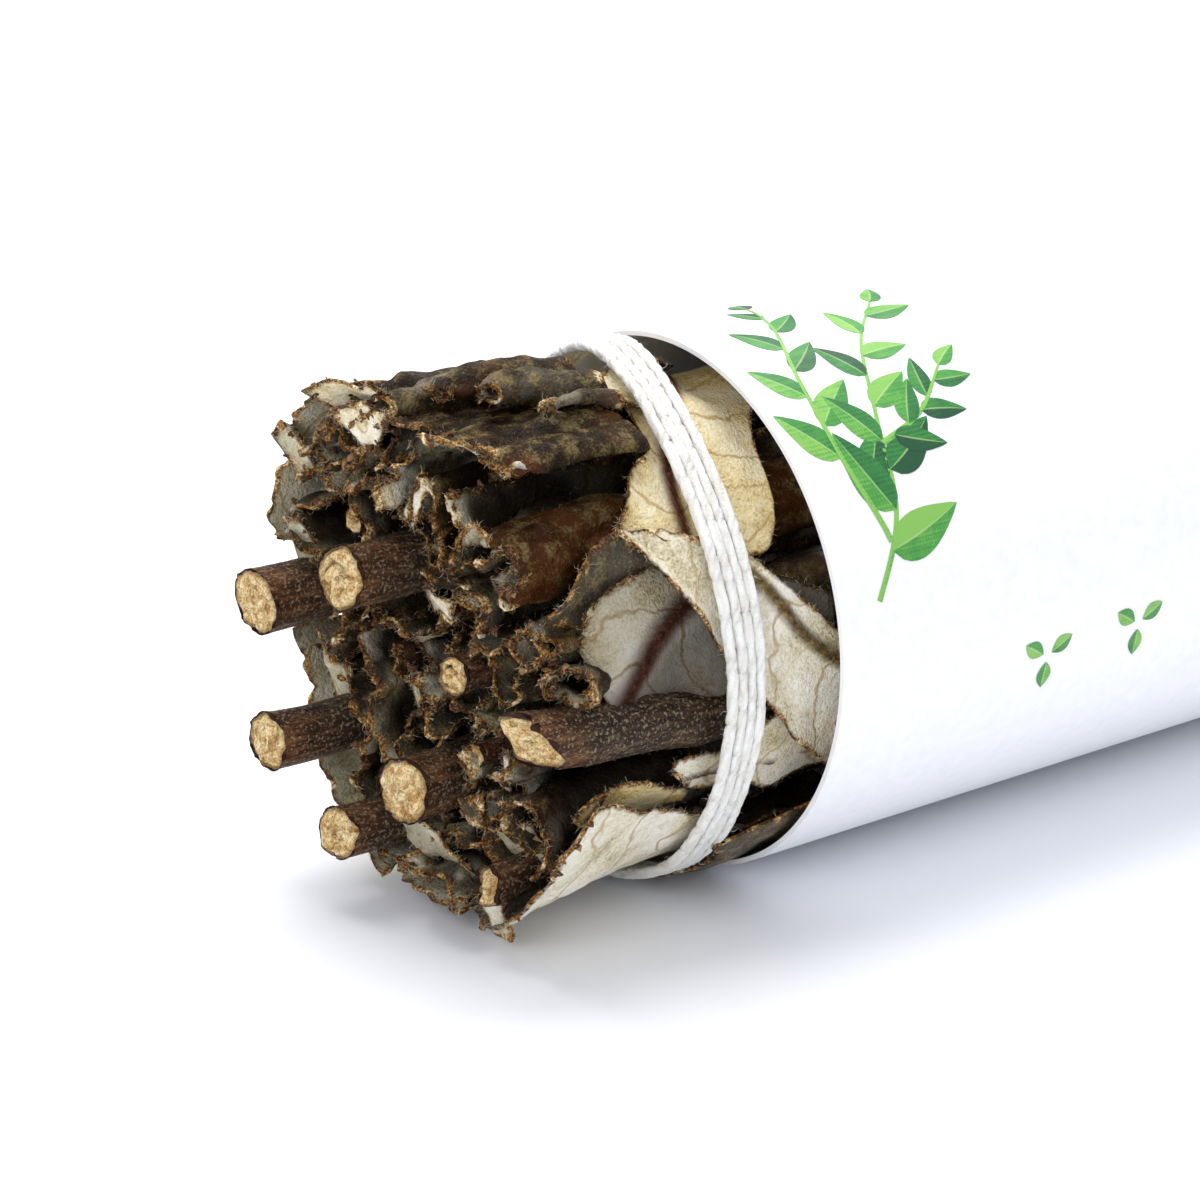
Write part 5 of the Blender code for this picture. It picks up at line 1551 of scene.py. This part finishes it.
class HERBS_OT_stems(bpy.types.Operator):
    """Set the woody stems and twigs"""

    bl_idname = "herbs.stems"
    bl_label = "Stems"

    def execute(self, context):
        for row in STEMS:
            stem(*row, context.scene.herb_stem)
        return {"FINISHED"}


class HERBS_OT_folded_leaves(bpy.types.Operator):
    """Pack the folded leaves between the stems"""

    bl_idname = "herbs.folded_leaves"
    bl_label = "Folded Leaves"

    def execute(self, context):
        for row in FOLDED_LEAVES:
            folded_leaf(*row, context.scene.herb_leaf)
        for name, one, other, front, end, u, w, radius, start, turned, *small in TOP_ROLLS:
            fold = roll(u, w, radius, start, turned)
            folded_leaf(name, one, other, front, end, fold, context.scene.herb_leaf, small)
        return {"FINISHED"}


class HERBS_OT_wrapped_leaves(bpy.types.Operator):
    """Lay the outer leaves round the bunch and at its far end"""

    bl_idname = "herbs.wrapped_leaves"
    bl_label = "Wrapped Leaves"

    def execute(self, context):
        for row in WRAPPED_LEAVES:
            wrapped_leaf(*row, context.scene.herb_leaf)
        for row in TIP_LEAVES:
            tip_leaf(*row, context.scene.herb_leaf)
        return {"FINISHED"}


class HERBS_OT_string(bpy.types.Operator):
    """Tie the cotton string and its knot"""

    bl_idname = "herbs.string"
    bl_label = "String"

    def execute(self, context):
        looks = context.scene.herb_string
        twine("string_twine", string_path(TURN_STEP, looks.gap), looks.radius, False, "string", looks)
        twine("string_knot_twine", knot_path(KNOT_STEPS), looks.radius, True, "string_knot", looks)
        return {"FINISHED"}


class HERBS_OT_sprigs(bpy.types.Operator):
    """Print the green sprigs on the sleeve"""

    bl_idname = "herbs.sprigs"
    bl_label = "Printed Sprigs"

    def execute(self, context):
        parts = []
        for k, (line, longest, count) in enumerate(PRINT_TWIGS):
            parts += leaf_print(line, longest, count, k + 5)
        for middle in PRINT_MARKS:
            parts += trefoil_print(middle)
        points, faces, uvs, shades, start = [], [], [], [], 0
        for k, (grid, shade, half) in enumerate(parts):
            rows, columns = grid.shape[:2]
            spots = on_sleeve(grid, PRINT_GAP + 0.002 * (k % 12))
            turned = np.sum(np.cross(spots[1, 0] - spots[0, 0], spots[0, 1] - spots[0, 0])
                            * (spots[0, 0] - np.array([spots[0, 0, 0], 0, SLEEVE_RADIUS]))) < 0
            points.append(spots.reshape(-1, 3))
            faces.append(grid_faces(rows, columns, start, turned=bool(turned)))
            across = np.linspace(-half, half, columns)
            uvs.append(np.stack(np.meshgrid(np.arange(rows), across, indexing="ij"), axis=-1).reshape(-1, 2))
            shades.append(np.full(rows * columns, shade))
            start += rows * columns
        piece = make_piece("sleeve_print", np.vstack(points), faces, [finish("ink", ink_finish)],
                           {"shade": np.concatenate(shades)}, np.vstack(uvs))
        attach(piece, "root")
        return {"FINISHED"}


class HERBS_OT_torn_scraps(bpy.types.Operator):
    """Fill the cut end with torn scraps of leaf"""

    bl_idname = "herbs.torn_scraps"
    bl_label = "Torn Scraps"

    def execute(self, context):
        scraps(context.scene.herb_leaf)
        return {"FINISHED"}


class HERBS_OT_crumbs(bpy.types.Operator):
    """Strew crumbs of dry leaf along the torn edges"""

    bl_idname = "herbs.crumbs"
    bl_label = "Crumbs"

    def execute(self, context):
        leaves = made_pieces("leaf_", "torn_scraps")

        def by_edges(source, places):
            return np.exp(-read_values(source, "edge") / 0.25) * (places[:, 0] < -19)

        for k, (tone, density) in enumerate((("#5f3f28", 3.5e5), ("#94724e", 1.3e5), ("#c9bfa4", 0.6e5))):
            scatter(f"crumbs_{k}", leaves, by_edges, chip(f"crumb_{k}", 1.0), density, 0.25, 0.9, 3.1, k + 3,
                    finish("crumb" + tone, fibre_finish, f"torn_leaf_fibre_{k}", tone), "leaf_upper")
        return {"FINISHED"}


class HERBS_OT_hairs(bpy.types.Operator):
    """Grow the wool of the leaves and bark and the fuzz of the string"""

    bl_idname = "herbs.hairs"
    bl_label = "Hairs"

    def execute(self, context):
        leaves = made_pieces("leaf_", "torn_scraps")
        stems = made_pieces("stem_", "twig_")
        string = [o for o in context.scene.objects if o.name in ("string_twine", "string_knot_twine")]

        def pale_edges(source, places):
            woolly = np.maximum(read_values(source, "felt"), 0.3 * (places[:, 0] < -12))
            return np.exp(-read_values(source, "edge") / 0.3) * (places[:, 0] < 4) * woolly

        def dark_faces(source, places):
            near = (places[:, 0] < -7) * (1 - 0.9 * read_values(source, "deep"))
            rim = 0.15 + np.exp(-read_values(source, "edge") / 0.6)
            return rim * near * (read_values(source, "felt") < 0.4)

        def bark(source, places):
            return (read_values(source, "out") > 0.99) * (places[:, 0] < -4)

        def everywhere(source, places):
            return (places[:, 0] < 6).astype(float)

        # Name, sources, where, hair (length, width, bends, curl), density, least and most size, slant,
        # material and colour, slot
        rows = (
            ("wool_of_edges", leaves, pale_edges, ("wool_hair", 0.7, 0.018, 2, 0.9), 1.45e7, 0.5, 1.3, 1.1,
             "leaf_wool", "#d8cfb4", "leaf_felt"),
            ("wool_of_faces", leaves, dark_faces, ("olive_hair", 0.5, 0.015, 2, 0.9), 4.0e6, 0.5, 1.3, 1.2,
             "olive_leaf_wool", "#8f8a5c", "leaf_upper"),
            ("down_of_bark", stems, bark, ("bark_hair", 0.45, 0.015, 2, 0.9), 6.2e6, 0.5, 1.3, 1.3,
             "bark_down", "#a3977c", "stem_bark"),
            ("lint_of_string", string, everywhere, ("lint_hair", 0.9, 0.012, 4, 1.1),
             context.scene.herb_string.fuzz, 0.4, 1.5, 1.2, "cotton_lint", "#f6f5f0", "cotton_string"),
        )
        for seed, (name, sources, take, hair, *spread, material, colour, slot) in enumerate(rows, 11):
            fibre = finish(material, fibre_finish, material, colour)
            scatter(name, sources, take, strand(*hair), *spread, seed, fibre, slot)
        return {"FINISHED"}


class HERBS_OT_stage(bpy.types.Operator):
    """Set the floor, the lights and the camera"""

    bl_idname = "herbs.stage"
    bl_label = "Stage"

    def execute(self, context):
        looks = context.scene.herb_stage
        bpy.ops.mesh.primitive_plane_add(size=FLOOR_SIZE, location=(0, 0, -FLOOR_GAP))
        floor = context.object
        floor.name = "floor"
        floor.data.materials.append(finish("floor", floor_finish, tuple(looks.floor)))
        world = bpy.data.worlds.new("studio")
        context.scene.world = world
        world.use_nodes = True
        sky = world.node_tree.nodes["Background"].inputs
        sky["Color"].default_value = linear("#f6f8ff")
        sky["Strength"].default_value = looks.sky
        aim = Vector(LIGHTS_AIM)
        for name, place, size, power, colour in (
                ("key", (0.10, 0.22, 0.60), 0.55, looks.key, "#fffdf8"),
                ("fill", (-0.55, -0.35, 0.40), 0.40, looks.fill, "#ffffff")):
            light = bpy.data.lights.new(name, "AREA")
            light.size = size
            light.energy = power
            light.color = linear(colour)[:3]
            lamp = linked(name, light)
            lamp.location = aim + Vector(place)
            lamp.rotation_euler = (aim - lamp.location).to_track_quat("-Z", "Y").to_euler()
        camera = linked("camera", bpy.data.cameras.new("camera"))
        camera.data.lens = CAMERA_LENS
        camera.data.sensor_width = CAMERA_SENSOR
        camera.data.clip_start = 0.01
        azimuth, elevation = (math.radians(a) for a in CAMERA_ANGLES)
        back = Vector((math.sin(azimuth) * math.cos(elevation), -math.cos(azimuth) * math.cos(elevation),
                       math.sin(elevation)))
        camera.location = Vector((RIM_X, 0, 0)) + Vector(CAMERA_PLACE) * MM
        camera.rotation_euler = back.to_track_quat("Z", "Y").to_euler()
        context.scene.camera = camera
        context.scene.view_settings.view_transform = "Standard"
        return {"FINISHED"}


class HERBS_PT_bunch(bpy.types.Panel):
    """The bunch's pieces, in the order in which they are made"""

    bl_idname = "HERBS_PT_bunch"
    bl_label = "Yerba Santa Bunch"
    bl_space_type = "VIEW_3D"
    bl_region_type = "UI"
    bl_category = "Herbs"

    def draw(self, context):
        for key, operators in PANEL_ROWS:
            looks = getattr(context.scene, key)
            box = self.layout.box()
            for prop in looks.bl_rna.properties:
                if not prop.is_readonly and prop.identifier not in ("name",):
                    box.prop(looks, prop.identifier)
            for operator in operators:
                box.operator(operator.bl_idname)


LOOKS = {"herb_sleeve": SleeveLooks, "herb_stem": StemLooks, "herb_leaf": LeafLooks,
         "herb_string": StringLooks, "herb_stage": StageLooks}
PANEL_ROWS = [
    ("herb_sleeve", [HERBS_OT_sleeve, HERBS_OT_sprigs]),
    ("herb_stem", [HERBS_OT_stems]),
    ("herb_leaf", [HERBS_OT_folded_leaves, HERBS_OT_wrapped_leaves, HERBS_OT_torn_scraps]),
    ("herb_string", [HERBS_OT_string, HERBS_OT_crumbs, HERBS_OT_hairs]),
    ("herb_stage", [HERBS_OT_stage]),
]
CLASSES = [*LOOKS.values(), *(operator for _, row in PANEL_ROWS for operator in row), HERBS_PT_bunch]


def register():
    """Make the add-on's classes and settings known to Blender."""
    for kind in CLASSES:
        bpy.utils.register_class(kind)
    for key, kind in LOOKS.items():
        setattr(bpy.types.Scene, key, bpy.props.PointerProperty(type=kind))


def unregister():
    """Take them out again."""
    for key in LOOKS:
        delattr(bpy.types.Scene, key)
    for kind in reversed(CLASSES):
        bpy.utils.unregister_class(kind)


def main():
    """Make the whole scene."""
    register()
    bpy.ops.herbs.sleeve()
    bpy.ops.herbs.sprigs()
    bpy.ops.herbs.stems()
    bpy.ops.herbs.folded_leaves()
    bpy.ops.herbs.wrapped_leaves()
    bpy.ops.herbs.torn_scraps()
    bpy.ops.herbs.string()
    bpy.ops.herbs.crumbs()
    bpy.ops.herbs.hairs()
    bpy.ops.herbs.stage()


if __name__ == "__main__":
    main()
